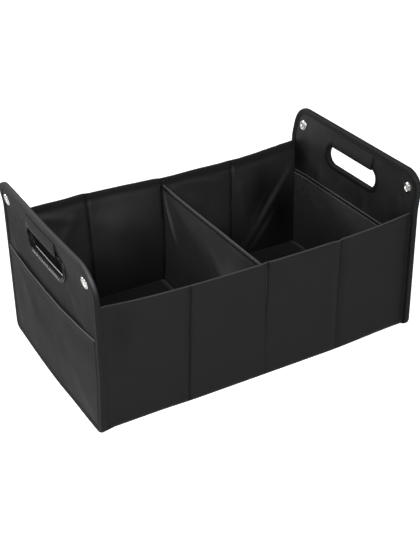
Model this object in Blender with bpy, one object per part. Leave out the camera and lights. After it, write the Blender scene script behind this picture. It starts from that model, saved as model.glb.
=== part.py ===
"""Folding boot organiser: two boarded end panels with handle slots, folding side walls and a divider.

Metres, +Z up. +X runs along the length, from the end with the slack outer pocket to the end with the
inner mesh pocket, and +Y runs to the back wall. The origin is on the ground at the centre of the box.
Depth on a panel or a wall is counted inwards from the outer face of its outer cloth.
"""

import math

import bmesh
import bpy
from mathutils import Vector

# Overall size
LENGTH = 0.500  # between the outer cloth faces of the two end panels
WIDTH = 0.300  # end panel across, over its edge tape
END_HEIGHT = 0.248  # end panel, over its edge tape
WALL_HEIGHT = 0.188  # long walls where they meet the end panels
END_OVERHANG = 0.006  # end panel past the face of each long wall
FRONT_SAG = 0.010  # dip of the front wall's top edge at its middle
BACK_SAG = 0.004
TOP_RADIUS = 0.030
BOTTOM_RADIUS = 0.012

# Sheet stock
CLOTH = 0.0008
TAPE = 0.0007
END_BOARD = 0.003
WALL_BOARD = 0.0025
DIVIDER_BOARD = 0.002
FLOOR_BOARD = 0.003
MESH = 0.0005
GAP = 0.0003  # between pieces that touch

# Edge tape, hems and soft strips
TAPE_WIDTH = 0.009
HEM = 0.011  # outer cloth turned over the top of a long wall
CREASE = 0.0035  # half the soft strip between two wall boards
END_STRIP = 0.007  # soft strip between a wall's last board and the end panel
BOARD_DROP = 0.002  # spare cloth above the wall boards
DIVIDER_TAPE = 0.008
DIVIDER_SAG = 0.0025
DIVIDER_DROP = 0.002  # divider's top below the hems of the long walls
FLOOR_CLEARANCE = 0.0015

# Handle slot
SLOT_LENGTH = 0.118
SLOT_HEIGHT = 0.031
BAR = 0.032  # from the top of the panel down to the slot
RING_WALL = 0.0015
RING_FLANGE = 0.0065
RING_THICKNESS = 0.0015
RING_ROUND = 0.0007
GRIP_PAD = 0.004
GRIP_UNDER = 0.002
GRIP_EDGE = 0.0012
GRIP_RAMP = 0.003
GRIP_DROP = 0.003  # sleeve's top edge below the edge tape

# Eyelets
EYELET_HOLE = 0.004  # radius
EYELET_BARREL = 0.0005
EYELET_FLANGE = 0.0085  # radius
EYELET_DOME = 0.0014
EYELET_LIP = 0.0062  # radius of the rolled lip
EYELET_METAL = 0.0006
WASHER_RADIUS = 0.0078
EYELET_IN = 0.023  # from the panel's side edge
EYELET_DOWN = 0.028  # from the panel's top edge

# Pockets
OUTER_POCKET_HEIGHT = 0.144
OUTER_POCKET_SAG = 0.004
OUTER_POCKET_SLACK = 0.005
MESH_POCKET_HEIGHT = 0.143
MESH_TAPE = 0.009
MESH_STRAND = 0.0032

# Number of pieces and of facets
WALL_BOARDS = 4
MESH_COLUMNS = 14
MESH_ROWS = 7
CORNER_STEPS = 5
SLOT_STEPS = 9
EYELET_STEPS = 12
ROLL_STEPS = 4
BOARD_STATIONS = 4
DIVIDER_STATIONS = 6
POCKET_COLUMNS = 12
POCKET_ROWS = 8

# Fits that follow from the sizes above
END_DEPTH = 2 * CLOTH + END_BOARD + 2 * GAP
WALL_DEPTH = 3 * CLOTH + WALL_BOARD + 3 * GAP
ROLL = WALL_DEPTH / 2
FOLD_DIP = (WALL_BOARD + GAP) / 2
WALL_FACE = WIDTH / 2 - END_OVERHANG
LINING_DEPTH = CLOTH + WALL_BOARD + 2 * GAP
INNER_Y = WALL_FACE - LINING_DEPTH - CLOTH
WALL_END = LENGTH / 2 - END_DEPTH - TAPE - 2 * GAP
FOLD_X = (WALL_END - END_STRIP / 2) / (WALL_BOARDS / 2)
BASE_TOP = CLOTH
WALL_BOTTOM = BASE_TOP + GAP
FLOOR_TOP = WALL_BOTTOM + 2 * CLOTH + FLOOR_BOARD + 2 * GAP
SLOT_Z = END_HEIGHT - BAR - SLOT_HEIGHT / 2
EYELET_Y = WIDTH / 2 - EYELET_IN
EYELET_Z = END_HEIGHT - EYELET_DOWN
DIVIDER_HALF = DIVIDER_BOARD / 2 + GAP + CLOTH
DIVIDER_TOP = WALL_HEIGHT - max(FRONT_SAG, BACK_SAG) - HEM - DIVIDER_DROP
DIVIDER_Y = INNER_Y - GAP

ENDS = {"left": -1, "right": 1}
WALLS = {"front": -1, "back": 1}


def clear_scene():
    for obj in list(bpy.data.objects):
        bpy.data.objects.remove(obj)


def make_material(name, colour, roughness, metallic=0.0):
    material = bpy.data.materials.new(name)
    material.use_nodes = True
    shader = material.node_tree.nodes["Principled BSDF"]
    shader.inputs["Base Color"].default_value = (*colour, 1.0)
    shader.inputs["Roughness"].default_value = roughness
    shader.inputs["Metallic"].default_value = metallic
    return material


def add_object(name, bm, material):
    """A closed mesh, its faces turned outwards, hung on the organiser's empty."""
    bmesh.ops.recalc_face_normals(bm, faces=bm.faces)
    if bm.calc_volume(signed=True) < 0:
        bmesh.ops.reverse_faces(bm, faces=bm.faces)
    mesh = bpy.data.meshes.new(name)
    bm.to_mesh(mesh)
    bm.free()
    mesh.materials.append(material)
    obj = bpy.data.objects.new(name, mesh)
    bpy.context.scene.collection.objects.link(obj)
    obj.parent = ORGANISER
    return obj


def extrude_move(bm, faces, offset):
    """Extrude faces by an offset."""
    result = bmesh.ops.extrude_face_region(bm, geom=faces)
    moved = [item for item in result["geom"] if isinstance(item, bmesh.types.BMVert)]
    bmesh.ops.translate(bm, verts=moved, vec=offset)


def box_mesh(low, high):
    """A closed box between two corners."""
    bm = bmesh.new()
    bmesh.ops.create_cube(bm, size=1.0)
    low, high = Vector(low), Vector(high)
    bmesh.ops.scale(bm, vec=high - low, verts=bm.verts)
    bmesh.ops.translate(bm, vec=(low + high) / 2, verts=bm.verts)
    return bm


def add_loft(name, sections, material):
    """Skin a row of matching outlines, with the first and the last capped."""
    bm = bmesh.new()
    loops = [[bm.verts.new(point) for point in section] for section in sections]
    for near, far in zip(loops, loops[1:]):
        for i in range(len(near)):
            bm.faces.new((near[i - 1], near[i], far[i], far[i - 1]))
    bm.faces.new(loops[0])
    bm.faces.new(loops[-1])
    return add_object(name, bm, material)


def add_band(name, side, outline, profile, material):
    """Run a closed profile of (outset, depth) pairs round an outline of an end panel."""
    bm = bmesh.new()
    rings = []
    for outset, depth in profile:
        x = panel_x(side, depth)
        rings.append([bm.verts.new((x, y, z)) for y, z in outline(outset)])
    for near, far in zip(rings, rings[1:] + rings[:1]):
        for i in range(len(near)):
            bm.faces.new((near[i - 1], near[i], far[i], far[i - 1]))
    return add_object(name, bm, material)


# Outlines on an end panel


def panel_x(side, depth):
    return side * (LENGTH / 2 - depth)


def arc(centre_y, centre_z, radius, start, end, steps):
    """Points of a round corner, angles in degrees from +Y towards +Z."""
    points = []
    for i in range(steps + 1):
        angle = math.radians(start + (end - start) * i / steps)
        points.append((centre_y + radius * math.cos(angle), centre_z + radius * math.sin(angle)))
    return points


def panel_outline(outset):
    """Rounded rectangle of an end panel, moved outwards by outset."""
    low_y = WIDTH / 2 - BOTTOM_RADIUS
    high_y = WIDTH / 2 - TOP_RADIUS
    high_z = END_HEIGHT - TOP_RADIUS
    low = BOTTOM_RADIUS + outset
    high = TOP_RADIUS + outset
    return (
        arc(low_y, BOTTOM_RADIUS, low, -90, 0, CORNER_STEPS)
        + arc(high_y, high_z, high, 0, 90, CORNER_STEPS)
        + arc(-high_y, high_z, high, 90, 180, CORNER_STEPS)
        + arc(-low_y, BOTTOM_RADIUS, low, 180, 270, CORNER_STEPS)
    )


def slot_outline(outset):
    """Round-ended handle slot, moved outwards by outset."""
    straight = (SLOT_LENGTH - SLOT_HEIGHT) / 2
    radius = SLOT_HEIGHT / 2 + outset
    return arc(straight, SLOT_Z, radius, -90, 90, SLOT_STEPS) + arc(
        -straight, SLOT_Z, radius, 90, 270, SLOT_STEPS
    )


def eyelet_outline(centre_y):
    def circle(radius):
        return arc(centre_y, EYELET_Z, radius, 0, 360, EYELET_STEPS)[:-1]

    return circle


# End panels


def prism(bm, side, outline, outer_depth, inner_depth):
    """Fill an outline at one depth and push it to another."""
    x = panel_x(side, outer_depth)
    face = bm.faces.new([bm.verts.new((x, y, z)) for y, z in outline])
    extrude_move(bm, [face], (panel_x(side, inner_depth) - x, 0, 0))


def add_panel_cutter(end, side):
    """Handle slot and eyelet holes, as one cutter for the three layers of a panel."""
    bm = bmesh.new()
    outlines = [slot_outline(RING_WALL + GAP)]
    for centre_y in (-EYELET_Y, EYELET_Y):
        outlines.append(eyelet_outline(centre_y)(EYELET_HOLE + EYELET_BARREL + GAP))
    for outline in outlines:
        prism(bm, side, outline, -END_DEPTH, 2 * END_DEPTH)
    cutter = add_object(f"panel_cutter_{end}", bm, CUTTER)
    cutter.hide_render = True
    cutter.display_type = "WIRE"
    return cutter


def add_panel_layer(name, side, outer_depth, inner_depth, material, cutter):
    bm = bmesh.new()
    prism(bm, side, panel_outline(-TAPE - GAP), outer_depth, inner_depth)
    layer = add_object(name, bm, material)
    cut = layer.modifiers.new("holes", "BOOLEAN")
    cut.operation = "DIFFERENCE"
    cut.solver = "EXACT"
    cut.object = cutter


def add_edge_tape(end, side):
    """Tape folded over the edge of the three layers, all the way round."""
    front = -GAP
    back = END_DEPTH + GAP
    profile = [
        (0, front - TAPE),
        (0, back + TAPE),
        (-TAPE_WIDTH, back + TAPE),
        (-TAPE_WIDTH, back),
        (-TAPE, back),
        (-TAPE, front),
        (-TAPE_WIDTH, front),
        (-TAPE_WIDTH, front - TAPE),
    ]
    add_band(f"edge_tape_{end}", side, panel_outline, profile, BINDING)


def add_handle_ring(end, side):
    """Moulded ring that lines the slot and clamps the layers between two flanges."""
    front = -GAP
    back = END_DEPTH + GAP
    profile = [
        (RING_FLANGE, front),
        (RING_FLANGE, front - RING_THICKNESS + RING_ROUND),
        (RING_FLANGE - RING_ROUND, front - RING_THICKNESS),
        (RING_ROUND, front - RING_THICKNESS),
        (0, front - RING_THICKNESS + RING_ROUND),
        (0, back + RING_THICKNESS - RING_ROUND),
        (RING_ROUND, back + RING_THICKNESS),
        (RING_FLANGE - RING_ROUND, back + RING_THICKNESS),
        (RING_FLANGE, back + RING_THICKNESS - RING_ROUND),
        (RING_FLANGE, back),
        (RING_WALL, back),
        (RING_WALL, front),
    ]
    add_band(f"handle_ring_{end}", side, slot_outline, profile, RING)


def grip_half_section():
    """The sleeve on one face of the panel: its outside and its inside, from the stitched edge down.

    Each point is (distance in front of the cloth, height)."""
    slot_top = SLOT_Z + SLOT_HEIGHT / 2
    top = END_HEIGHT - TAPE_WIDTH - GRIP_DROP
    flange_top = slot_top + RING_FLANGE + GAP
    over_flange = RING_THICKNESS + 2 * GAP
    stand = over_flange + GRIP_PAD
    bottom = slot_top - GAP - GRIP_UNDER
    outer = [
        (GAP + GRIP_EDGE, top),
        (stand - GRIP_PAD / 4, (top + flange_top) / 2),
        (stand, flange_top),
        (stand, slot_top),
        (stand - GRIP_PAD / 2, bottom),
    ]
    inner = [
        (GAP, top),
        (GAP, flange_top + GRIP_RAMP),
        (over_flange, flange_top),
        (over_flange, slot_top - GAP),
    ]
    return outer, inner


def add_grip_sleeve(end, side):
    """Padded sleeve hung over the bar, round the top run of the ring and stitched to both faces."""
    outer, inner = grip_half_section()
    section = [(-stand, z) for stand, z in outer]
    section += [(END_DEPTH + stand, z) for stand, z in reversed(outer)]
    section += [(END_DEPTH + stand, z) for stand, z in inner]
    section += [(-stand, z) for stand, z in reversed(inner)]
    half = (SLOT_LENGTH - SLOT_HEIGHT) / 2
    sections = [[(panel_x(side, depth), y, z) for depth, z in section] for y in (-half, half)]
    add_loft(f"grip_sleeve_{end}", sections, GRIP)


def add_eyelets(end, side):
    """Domed eyelet pushed through from outside and rolled over a washer on the inside."""
    seat = END_DEPTH + GAP
    barrel = EYELET_HOLE + EYELET_BARREL
    washer_back = seat + EYELET_METAL
    lip = washer_back + GAP
    for wall, direction in WALLS.items():
        circle = eyelet_outline(direction * EYELET_Y)
        profile = [
            (EYELET_FLANGE, -GAP),
            ((EYELET_FLANGE + barrel) / 2, -GAP - EYELET_DOME),
            (EYELET_HOLE, -GAP - EYELET_METAL),
            (EYELET_HOLE, lip + EYELET_METAL / 2),
            ((EYELET_HOLE + EYELET_LIP) / 2, lip + EYELET_METAL),
            (EYELET_LIP, lip),
            (barrel, lip),
            (barrel, -GAP),
        ]
        add_band(f"eyelet_{end}_{wall}", side, circle, profile, NICKEL)
        washer = [
            (WASHER_RADIUS, seat),
            (WASHER_RADIUS, washer_back),
            (barrel + GAP, washer_back),
            (barrel + GAP, seat),
        ]
        add_band(f"eyelet_washer_{end}_{wall}", side, circle, washer, NICKEL)


def add_end_panel(end, side):
    cutter = add_panel_cutter(end, side)
    board = CLOTH + GAP
    lining = board + END_BOARD + GAP
    add_panel_layer(f"end_cover_{end}", side, 0, CLOTH, COVER, cutter)
    add_panel_layer(f"end_board_{end}", side, board, board + END_BOARD, BOARD, cutter)
    add_panel_layer(f"end_lining_{end}", side, lining, lining + CLOTH, LINING, cutter)
    add_edge_tape(end, side)
    add_handle_ring(end, side)
    add_grip_sleeve(end, side)
    add_eyelets(end, side)


# Long walls


def board_spans():
    """Start and end of each wall board along the length."""
    spans = []
    for i in range(WALL_BOARDS):
        start = (i - WALL_BOARDS / 2) * FOLD_X + CREASE
        end = (i + 1 - WALL_BOARDS / 2) * FOLD_X - CREASE
        if i == 0:
            start = -WALL_END + END_STRIP
        if i == WALL_BOARDS - 1:
            end = WALL_END - END_STRIP
        spans.append((start, end))
    return spans


def wall_stations():
    """(x, pinch) along a wall: pinch is 1 where the cloths meet between boards, 0 over a board."""
    stations = [(-WALL_END, 1)]
    spans = board_spans()
    for i, (start, end) in enumerate(spans):
        stations += [(start + (end - start) * k / BOARD_STATIONS, 0) for k in range(BOARD_STATIONS + 1)]
        last = i == len(spans) - 1
        stations.append((WALL_END, 1) if last else ((end + spans[i + 1][0]) / 2, 1))
    return stations


def wall_top(sag, x):
    """Height of a wall's top edge, which hangs between the end panels."""
    return WALL_HEIGHT - sag * (1 - abs(x / WALL_END) ** 3)


def wall_cover_section(top, pinch):
    """Outer cloth from the base up, rolled over the top and hemmed inside, as (depth, z)."""
    front = FOLD_DIP * pinch
    back = WALL_DEPTH - FOLD_DIP * pinch
    middle = (front + back) / 2
    outer_radius = (back - front) / 2
    roll_z = top - outer_radius
    section = [(front, WALL_BOTTOM)]
    turns = [math.pi * i / ROLL_STEPS for i in range(ROLL_STEPS + 1)]
    for turn in turns:
        section.append((middle - outer_radius * math.cos(turn), roll_z + outer_radius * math.sin(turn)))
    section += [(back, top - HEM), (back - CLOTH, top - HEM)]
    inner_radius = outer_radius - CLOTH
    for turn in reversed(turns):
        section.append((middle - inner_radius * math.cos(turn), roll_z + inner_radius * math.sin(turn)))
    section.append((front + CLOTH, WALL_BOTTOM))
    return section


def add_long_wall(wall, side, sag):
    def place(x, section):
        return [(x, side * (WALL_FACE - depth), z) for depth, z in section]

    cover = []
    lining = []
    for x, pinch in wall_stations():
        top = wall_top(sag, x)
        cover.append(place(x, wall_cover_section(top, pinch)))
        depth = LINING_DEPTH - FOLD_DIP * pinch
        corners = [(depth, WALL_BOTTOM), (depth, top - ROLL)]
        corners += [(depth + CLOTH, top - ROLL), (depth + CLOTH, WALL_BOTTOM)]
        lining.append(place(x, corners))
    add_loft(f"{wall}_wall_cover", cover, COVER)
    add_loft(f"{wall}_wall_lining", lining, LINING)

    board_depth = CLOTH + GAP
    for number, (start, end) in enumerate(board_spans(), 1):
        sections = []
        for x in (start, end):
            top = wall_top(sag, x) - ROLL - BOARD_DROP
            corners = [(board_depth, WALL_BOTTOM), (board_depth, top)]
            corners += [(board_depth + WALL_BOARD, top), (board_depth + WALL_BOARD, WALL_BOTTOM)]
            sections.append(place(x, corners))
        add_loft(f"{wall}_wall_board_{number}", sections, BOARD)


# Divider


def divider_top(y):
    return DIVIDER_TOP - DIVIDER_SAG * (1 - (y / DIVIDER_Y) ** 2)


def add_divider():
    """Cloth folded up round a board, its open top closed with tape."""
    below_tape = TAPE + GAP
    cover = []
    tape = []
    for i in range(DIVIDER_STATIONS + 1):
        y = DIVIDER_Y * (2 * i / DIVIDER_STATIONS - 1)
        top = divider_top(y)
        cover_top = top - below_tape
        inner = DIVIDER_HALF - CLOTH
        outline = [(DIVIDER_HALF, cover_top), (DIVIDER_HALF, WALL_BOTTOM)]
        hollow = [(inner, WALL_BOTTOM + CLOTH), (inner, cover_top)]
        cover.append(mirrored(y, outline, hollow))
        leg = DIVIDER_HALF + GAP
        outline = [(leg + TAPE, top - DIVIDER_TAPE), (leg + TAPE, top)]
        hollow = [(leg, top - TAPE), (leg, top - DIVIDER_TAPE)]
        tape.append(mirrored(y, outline, hollow))
    add_loft("divider_cover", cover, LINING)
    add_loft("divider_tape", tape, BINDING)
    half = DIVIDER_BOARD / 2
    low = WALL_BOTTOM + CLOTH + GAP
    high = DIVIDER_TOP - DIVIDER_SAG - below_tape - GAP
    add_object("divider_board", box_mesh((-half, -DIVIDER_Y, low), (half, DIVIDER_Y, high)), BOARD)


def mirrored(y, outline, hollow):
    """A U section from its +X half: down the outside, across, and back up the inside."""
    points = [(x, y, z) for x, z in outline]
    points += [(-x, y, z) for x, z in reversed(outline)]
    points += [(-x, y, z) for x, z in reversed(hollow)]
    points += [(x, y, z) for x, z in hollow]
    return points


# Base and floor


def add_base():
    cloth = box_mesh((-WALL_END, -WALL_FACE, 0), (WALL_END, WALL_FACE, BASE_TOP))
    add_object("base_cloth", cloth, COVER)


def add_floor(end, side):
    """Loose floor board in a cloth envelope that is open along the back."""
    near = DIVIDER_HALF + FLOOR_CLEARANCE
    far = WALL_END - FLOOR_CLEARANCE
    half = INNER_Y - FLOOR_CLEARANCE
    low_x, high_x = sorted((side * near, side * far))
    bm = box_mesh((low_x, -half, WALL_BOTTOM), (high_x, half, FLOOR_TOP))
    mouth = max(bm.faces, key=lambda face: face.calc_center_median().y)
    bmesh.ops.inset_region(bm, faces=[mouth], thickness=CLOTH, use_even_offset=True)
    push_in = bmesh.ops.extrude_face_region(bm, geom=[mouth])
    moved = [item for item in push_in["geom"] if isinstance(item, bmesh.types.BMVert)]
    bmesh.ops.delete(bm, geom=[mouth], context="FACES_ONLY")
    bmesh.ops.translate(bm, verts=moved, vec=(0, -2 * half + CLOTH, 0))
    add_object(f"floor_cover_{end}", bm, LINING)

    skin = CLOTH + GAP
    low = (low_x + skin, -half + skin, WALL_BOTTOM + skin)
    high = (high_x - skin, half, FLOOR_TOP - skin)
    add_object(f"floor_board_{end}", box_mesh(low, high), BOARD)


# Pockets


def add_outer_pocket():
    """Slack cloth pocket on the left end, sewn down its sides and along the bottom."""
    bottom = TAPE_WIDTH + GAP
    radius = BOTTOM_RADIUS - bottom
    side_y = WIDTH / 2 - bottom

    def shape(u, v):
        top = OUTER_POCKET_HEIGHT - OUTER_POCKET_SAG * (1 - u * u)
        z = bottom + (top - bottom) * v
        rise = max(0.0, bottom + radius - z)
        half = side_y - radius + math.sqrt(max(0.0, radius**2 - rise**2))
        stand = GAP + OUTER_POCKET_SLACK * (1 - u**4) * (1 - (1 - v) ** 3)
        return Vector((panel_x(ENDS["left"], -stand), u * half, z))

    bm = bmesh.new()
    bmesh.ops.create_grid(bm, x_segments=POCKET_COLUMNS, y_segments=POCKET_ROWS, size=1.0)
    for vert in bm.verts:
        vert.co = shape(vert.co.x, (vert.co.y + 1) / 2)
    extrude_move(bm, bm.faces[:], (ENDS["left"] * CLOTH, 0, 0))
    add_object("outer_pocket", bm, COVER)


def add_mesh_pocket():
    """Open mesh sewn to the right end's lining, its mouth bound with tape."""
    tape_back = END_DEPTH + GAP
    mesh_back = tape_back + TAPE + GAP
    tape_front = mesh_back + MESH + GAP
    half = DIVIDER_Y
    low = FLOOR_TOP + GAP
    high = MESH_POCKET_HEIGHT - TAPE - GAP
    right = ENDS["right"]

    bm = bmesh.new()
    bmesh.ops.create_grid(bm, x_segments=MESH_COLUMNS, y_segments=MESH_ROWS, size=1.0)
    for vert in bm.verts:
        z = low + (high - low) * (vert.co.y + 1) / 2
        vert.co = Vector((panel_x(right, mesh_back), vert.co.x * half, z))
    bm.normal_update()
    cells = bm.faces[:]
    bmesh.ops.inset_individual(bm, faces=cells, thickness=MESH_STRAND / 2, use_even_offset=True)
    bmesh.ops.delete(bm, geom=cells, context="FACES_ONLY")
    extrude_move(bm, bm.faces[:], (-right * MESH, 0, 0))
    add_object("mesh_pocket", bm, NET)

    section = [
        (tape_back, MESH_POCKET_HEIGHT - MESH_TAPE),
        (tape_back, MESH_POCKET_HEIGHT),
        (tape_front + TAPE, MESH_POCKET_HEIGHT),
        (tape_front + TAPE, MESH_POCKET_HEIGHT - MESH_TAPE),
        (tape_front, MESH_POCKET_HEIGHT - MESH_TAPE),
        (tape_front, MESH_POCKET_HEIGHT - TAPE),
        (tape_back + TAPE, MESH_POCKET_HEIGHT - TAPE),
        (tape_back + TAPE, MESH_POCKET_HEIGHT - MESH_TAPE),
    ]
    sections = [[(panel_x(right, depth), y, z) for depth, z in section] for y in (-half, half)]
    add_loft("mesh_pocket_tape", sections, BINDING)


clear_scene()
ORGANISER = bpy.data.objects.new("organiser", None)
bpy.context.scene.collection.objects.link(ORGANISER)

COVER = make_material("outer_cloth", (0.022, 0.022, 0.023), 0.70)
LINING = make_material("lining_cloth", (0.018, 0.018, 0.019), 0.55)
BINDING = make_material("edge_tape", (0.024, 0.024, 0.025), 0.65)
GRIP = make_material("grip_cloth", (0.022, 0.022, 0.023), 0.70)
NET = make_material("pocket_mesh", (0.020, 0.020, 0.021), 0.75)
BOARD = make_material("stiffener_board", (0.14, 0.13, 0.12), 0.85)
RING = make_material("handle_ring_plastic", (0.020, 0.020, 0.021), 0.25)
NICKEL = make_material("nickel", (0.80, 0.79, 0.77), 0.22, 1.0)
CUTTER = make_material("cutter", (0.5, 0.1, 0.1), 0.5)

for end_name, end_side in ENDS.items():
    add_end_panel(end_name, end_side)
    add_floor(end_name, end_side)
add_long_wall("front", WALLS["front"], FRONT_SAG)
add_long_wall("back", WALLS["back"], BACK_SAG)
add_divider()
add_base()
add_outer_pocket()
add_mesh_pocket()
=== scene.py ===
# %% [markdown]
# # A folding boot organiser
#
# The real object is cloth, board, tape, two moulded rings and four metal eyelets. The CAD model that is
# loaded here has every one of those pieces as a plain solid at its true size and place. This lesson
# dresses them: each piece is made again with the folds, puckers, stitches and weave that it has in use,
# and stands for its solid.

# %% Load the CAD frame
import math

import bmesh
import bpy
from mathutils import Matrix, Vector, noise


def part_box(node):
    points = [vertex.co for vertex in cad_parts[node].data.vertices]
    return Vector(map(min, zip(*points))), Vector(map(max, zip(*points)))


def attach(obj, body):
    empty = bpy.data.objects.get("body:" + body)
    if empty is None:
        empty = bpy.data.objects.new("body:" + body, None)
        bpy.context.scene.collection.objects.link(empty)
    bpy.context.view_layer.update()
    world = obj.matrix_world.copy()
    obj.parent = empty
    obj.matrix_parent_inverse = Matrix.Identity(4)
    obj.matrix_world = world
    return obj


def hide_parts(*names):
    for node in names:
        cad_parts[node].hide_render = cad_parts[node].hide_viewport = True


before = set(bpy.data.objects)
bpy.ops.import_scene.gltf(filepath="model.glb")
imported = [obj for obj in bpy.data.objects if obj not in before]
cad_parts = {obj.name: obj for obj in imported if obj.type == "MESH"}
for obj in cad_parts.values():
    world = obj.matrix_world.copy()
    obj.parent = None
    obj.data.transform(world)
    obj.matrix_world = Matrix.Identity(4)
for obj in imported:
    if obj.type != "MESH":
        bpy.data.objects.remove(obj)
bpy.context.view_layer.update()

# %% [markdown]
# ## Camera
#
# The photograph looks down on the front left corner with a long lens. The angles, the distance and the
# lens come from fitting a camera to the organiser's corners and folds. The camera is made first, so that
# every piece can be judged from there while the lesson grows.

# %% Camera
CAMERA_AZIMUTH = math.radians(-30.78)
CAMERA_ELEVATION = math.radians(30.55)
CAMERA_DISTANCE = 1.6666
CAMERA_TARGET = Vector((-0.0015, 0.0, 0.096))
CAMERA_LENS = 77.2

towards_camera = Vector(
    (
        math.sin(CAMERA_AZIMUTH) * math.cos(CAMERA_ELEVATION),
        -math.cos(CAMERA_AZIMUTH) * math.cos(CAMERA_ELEVATION),
        math.sin(CAMERA_ELEVATION),
    )
)
camera_data = bpy.data.cameras.new("camera")
camera_data.lens = CAMERA_LENS
camera_data.sensor_width = 36.0
camera = bpy.data.objects.new("camera", camera_data)
camera.location = CAMERA_TARGET + towards_camera * CAMERA_DISTANCE
camera.rotation_mode = "QUATERNION"
camera.rotation_quaternion = (-towards_camera).to_track_quat("-Z", "Y")
bpy.context.scene.collection.objects.link(camera)
bpy.context.scene.camera = camera

# %% [markdown]
# ## Sizes
#
# The sizes are read from the CAD nodes' boxes, so the cloth always fits the solids. Only what a box
# can't tell, such as a corner radius or a pocket's slack, is written as a number.

# %% Sizes from the CAD nodes
tape_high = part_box("edge_tape_left")[1]
cover_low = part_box("end_cover_left")[0]
lining_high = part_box("end_lining_left")[1]
wall_low, wall_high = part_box("front_wall_cover")
wall_lining_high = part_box("front_wall_lining")[1]
divider_low, divider_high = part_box("divider_cover")
divider_tape_low, divider_tape_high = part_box("divider_tape")
ring_low, ring_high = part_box("handle_ring_left")
mesh_low, mesh_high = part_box("mesh_pocket")
mesh_tape_low, mesh_tape_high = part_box("mesh_pocket_tape")

HALF_WIDTH = tape_high.y
PANEL_HEIGHT = tape_high.z
OUTER_X = -cover_low.x
INNER_X = -lining_high.x
PANEL_DEPTH = OUTER_X - INNER_X
WALL_END = wall_high.x
WALL_FACE = -wall_low.y
WALL_DEPTH = wall_high.y - wall_low.y
WALL_TOP = wall_high.z
WALL_BOTTOM = wall_low.z
LINING_Y = -wall_lining_high.y
TOP_RADIUS = 0.030
BOTTOM_RADIUS = 0.012
TAPE_WIDTH = 0.009
CLOTH = 0.0006
FOLD_X = 0.120
FRONT_SAG = 0.010
HEM = 0.009
print("panel", HALF_WIDTH, PANEL_HEIGHT, "depth", PANEL_DEPTH, "wall end", WALL_END)

# %% [markdown]
# ## How the organiser stands
#
# Soft goods never stand as square as their drawing. The photographed one leans a few millimetres to its
# left as it goes up, both ends flare outwards above their slots, and the left end swells near the
# ground. It could be posed with a lattice or by a cloth simulation, but then the pieces would have to be
# fitted to each other again. Here one function moves any upright point to where it is in that stance,
# and every piece is passed through it, so they all still meet.

# %% The stance of the ends
LEFT_FOOT = 0.0006
LEFT_LEAN = -0.0035
LEFT_FLARE = -0.0065
LEFT_TWIST = 0.0040
LEFT_KICK = -0.0030
LEFT_FORWARD = -0.0025
SWELL = 0.0035
SWELL_HEIGHT = 0.13
RIGHT_FOOT = 0.0012
RIGHT_LEAN = -0.0056
RIGHT_FLARE = 0.0045
RIGHT_TUCK = -0.0030


def ease(value, start, end):
    """0 before start, 1 after end, and a smooth turn between them."""
    t = min(1.0, max(0.0, (value - start) / (end - start)))
    return t * t * (3 - 2 * t)


def left_end_shift(y, z):
    """How the left end panel stands off its plain lean: across at y, up at z."""
    across = y / HALF_WIDTH
    twist = LEFT_TWIST * ease(across, -0.3, 1.0)
    kick = LEFT_KICK * ease(-across, 0.3, 1.0) * (1 - ease(z, 0.0, 0.10))
    swell = SWELL * max(0.0, 1 - z / SWELL_HEIGHT) * max(0.0, 1 - across**2)
    return twist + kick - swell


def right_end_shift(y, z):
    return RIGHT_TUCK * ease(y / HALF_WIDTH, 0.7, 1.0) * (1 - ease(z, 0.195, 0.235))


# %% [markdown]
# The soft pieces between the ends have a stance of their own. The boards of a wall stand a little askew,
# so its folds drift sideways as they rise, and the back wall's middle fold kinks at its very top. The
# back wall bows outwards between the divider and the ends. The divider is drawn to the right at its
# front, with a belly low at its back, and the loose floor boards lie high at the back, on the seam there.

# %% The stance of the walls, the divider and the floor
BACK_BOW = {-1: 0.0045, 1: 0.0015}
FRONT_DRIFT = [(-WALL_END, 0.0), (-FOLD_X, 0.0079), (0.0, 0.0047), (FOLD_X, 0.0047), (WALL_END, 0.0)]
BACK_DRIFT = [(-WALL_END, 0.0), (-FOLD_X, -0.0024), (0.0, 0.0020), (FOLD_X, 0.0029), (WALL_END, 0.0)]
BACK_NOTCH = 0.0062
DIVIDER_PULL = 0.0035
DIVIDER_BELLY = 0.0030
DIVIDER_NEAR = 0.02
NOTCH_NEAR = 0.03
FLOOR_RISE = 0.0040
INSIDE_Y = 0.1380
BETWEEN_LININGS = 0.1395


def between(x, table):
    """Read a table of (x, value) with a smooth run from each row to the next."""
    for (low_x, low), (high_x, high) in zip(table, table[1:]):
        if x <= high_x:
            return low + (high - low) * ease(x, low_x, high_x)
    return table[-1][1]


def fold_drift(x, y, z):
    """The boards of a wall stand a little askew, so its folds go sideways as they rise."""
    if abs(x) > WALL_END:
        return 0.0
    backwards = 0.5 + 0.5 * max(-1.0, min(1.0, y / WALL_FACE))
    front, back = between(x, FRONT_DRIFT), between(x, BACK_DRIFT)
    return (front + (back - front) * backwards) * z / WALL_TOP


def back_bow(x, z):
    """How far the back wall bows outwards."""
    arch = math.sin(math.pi * min(1.0, abs(x) / WALL_END))
    return BACK_BOW[-1 if x < 0 else 1] * arch * (z / WALL_TOP) ** 1.5


def divider_pull(y, z):
    """How far the divider is drawn to the right: at its front, and in a belly low at its back."""
    front = DIVIDER_PULL * ease(-y, -INSIDE_Y, 0.05) * ease(z, 0.004, 0.10)
    return front + DIVIDER_BELLY * ease(y, 0.0, INSIDE_Y) * ease(z, 0.004, 0.05) * (1 - ease(z, 0.10, 0.165))


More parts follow.
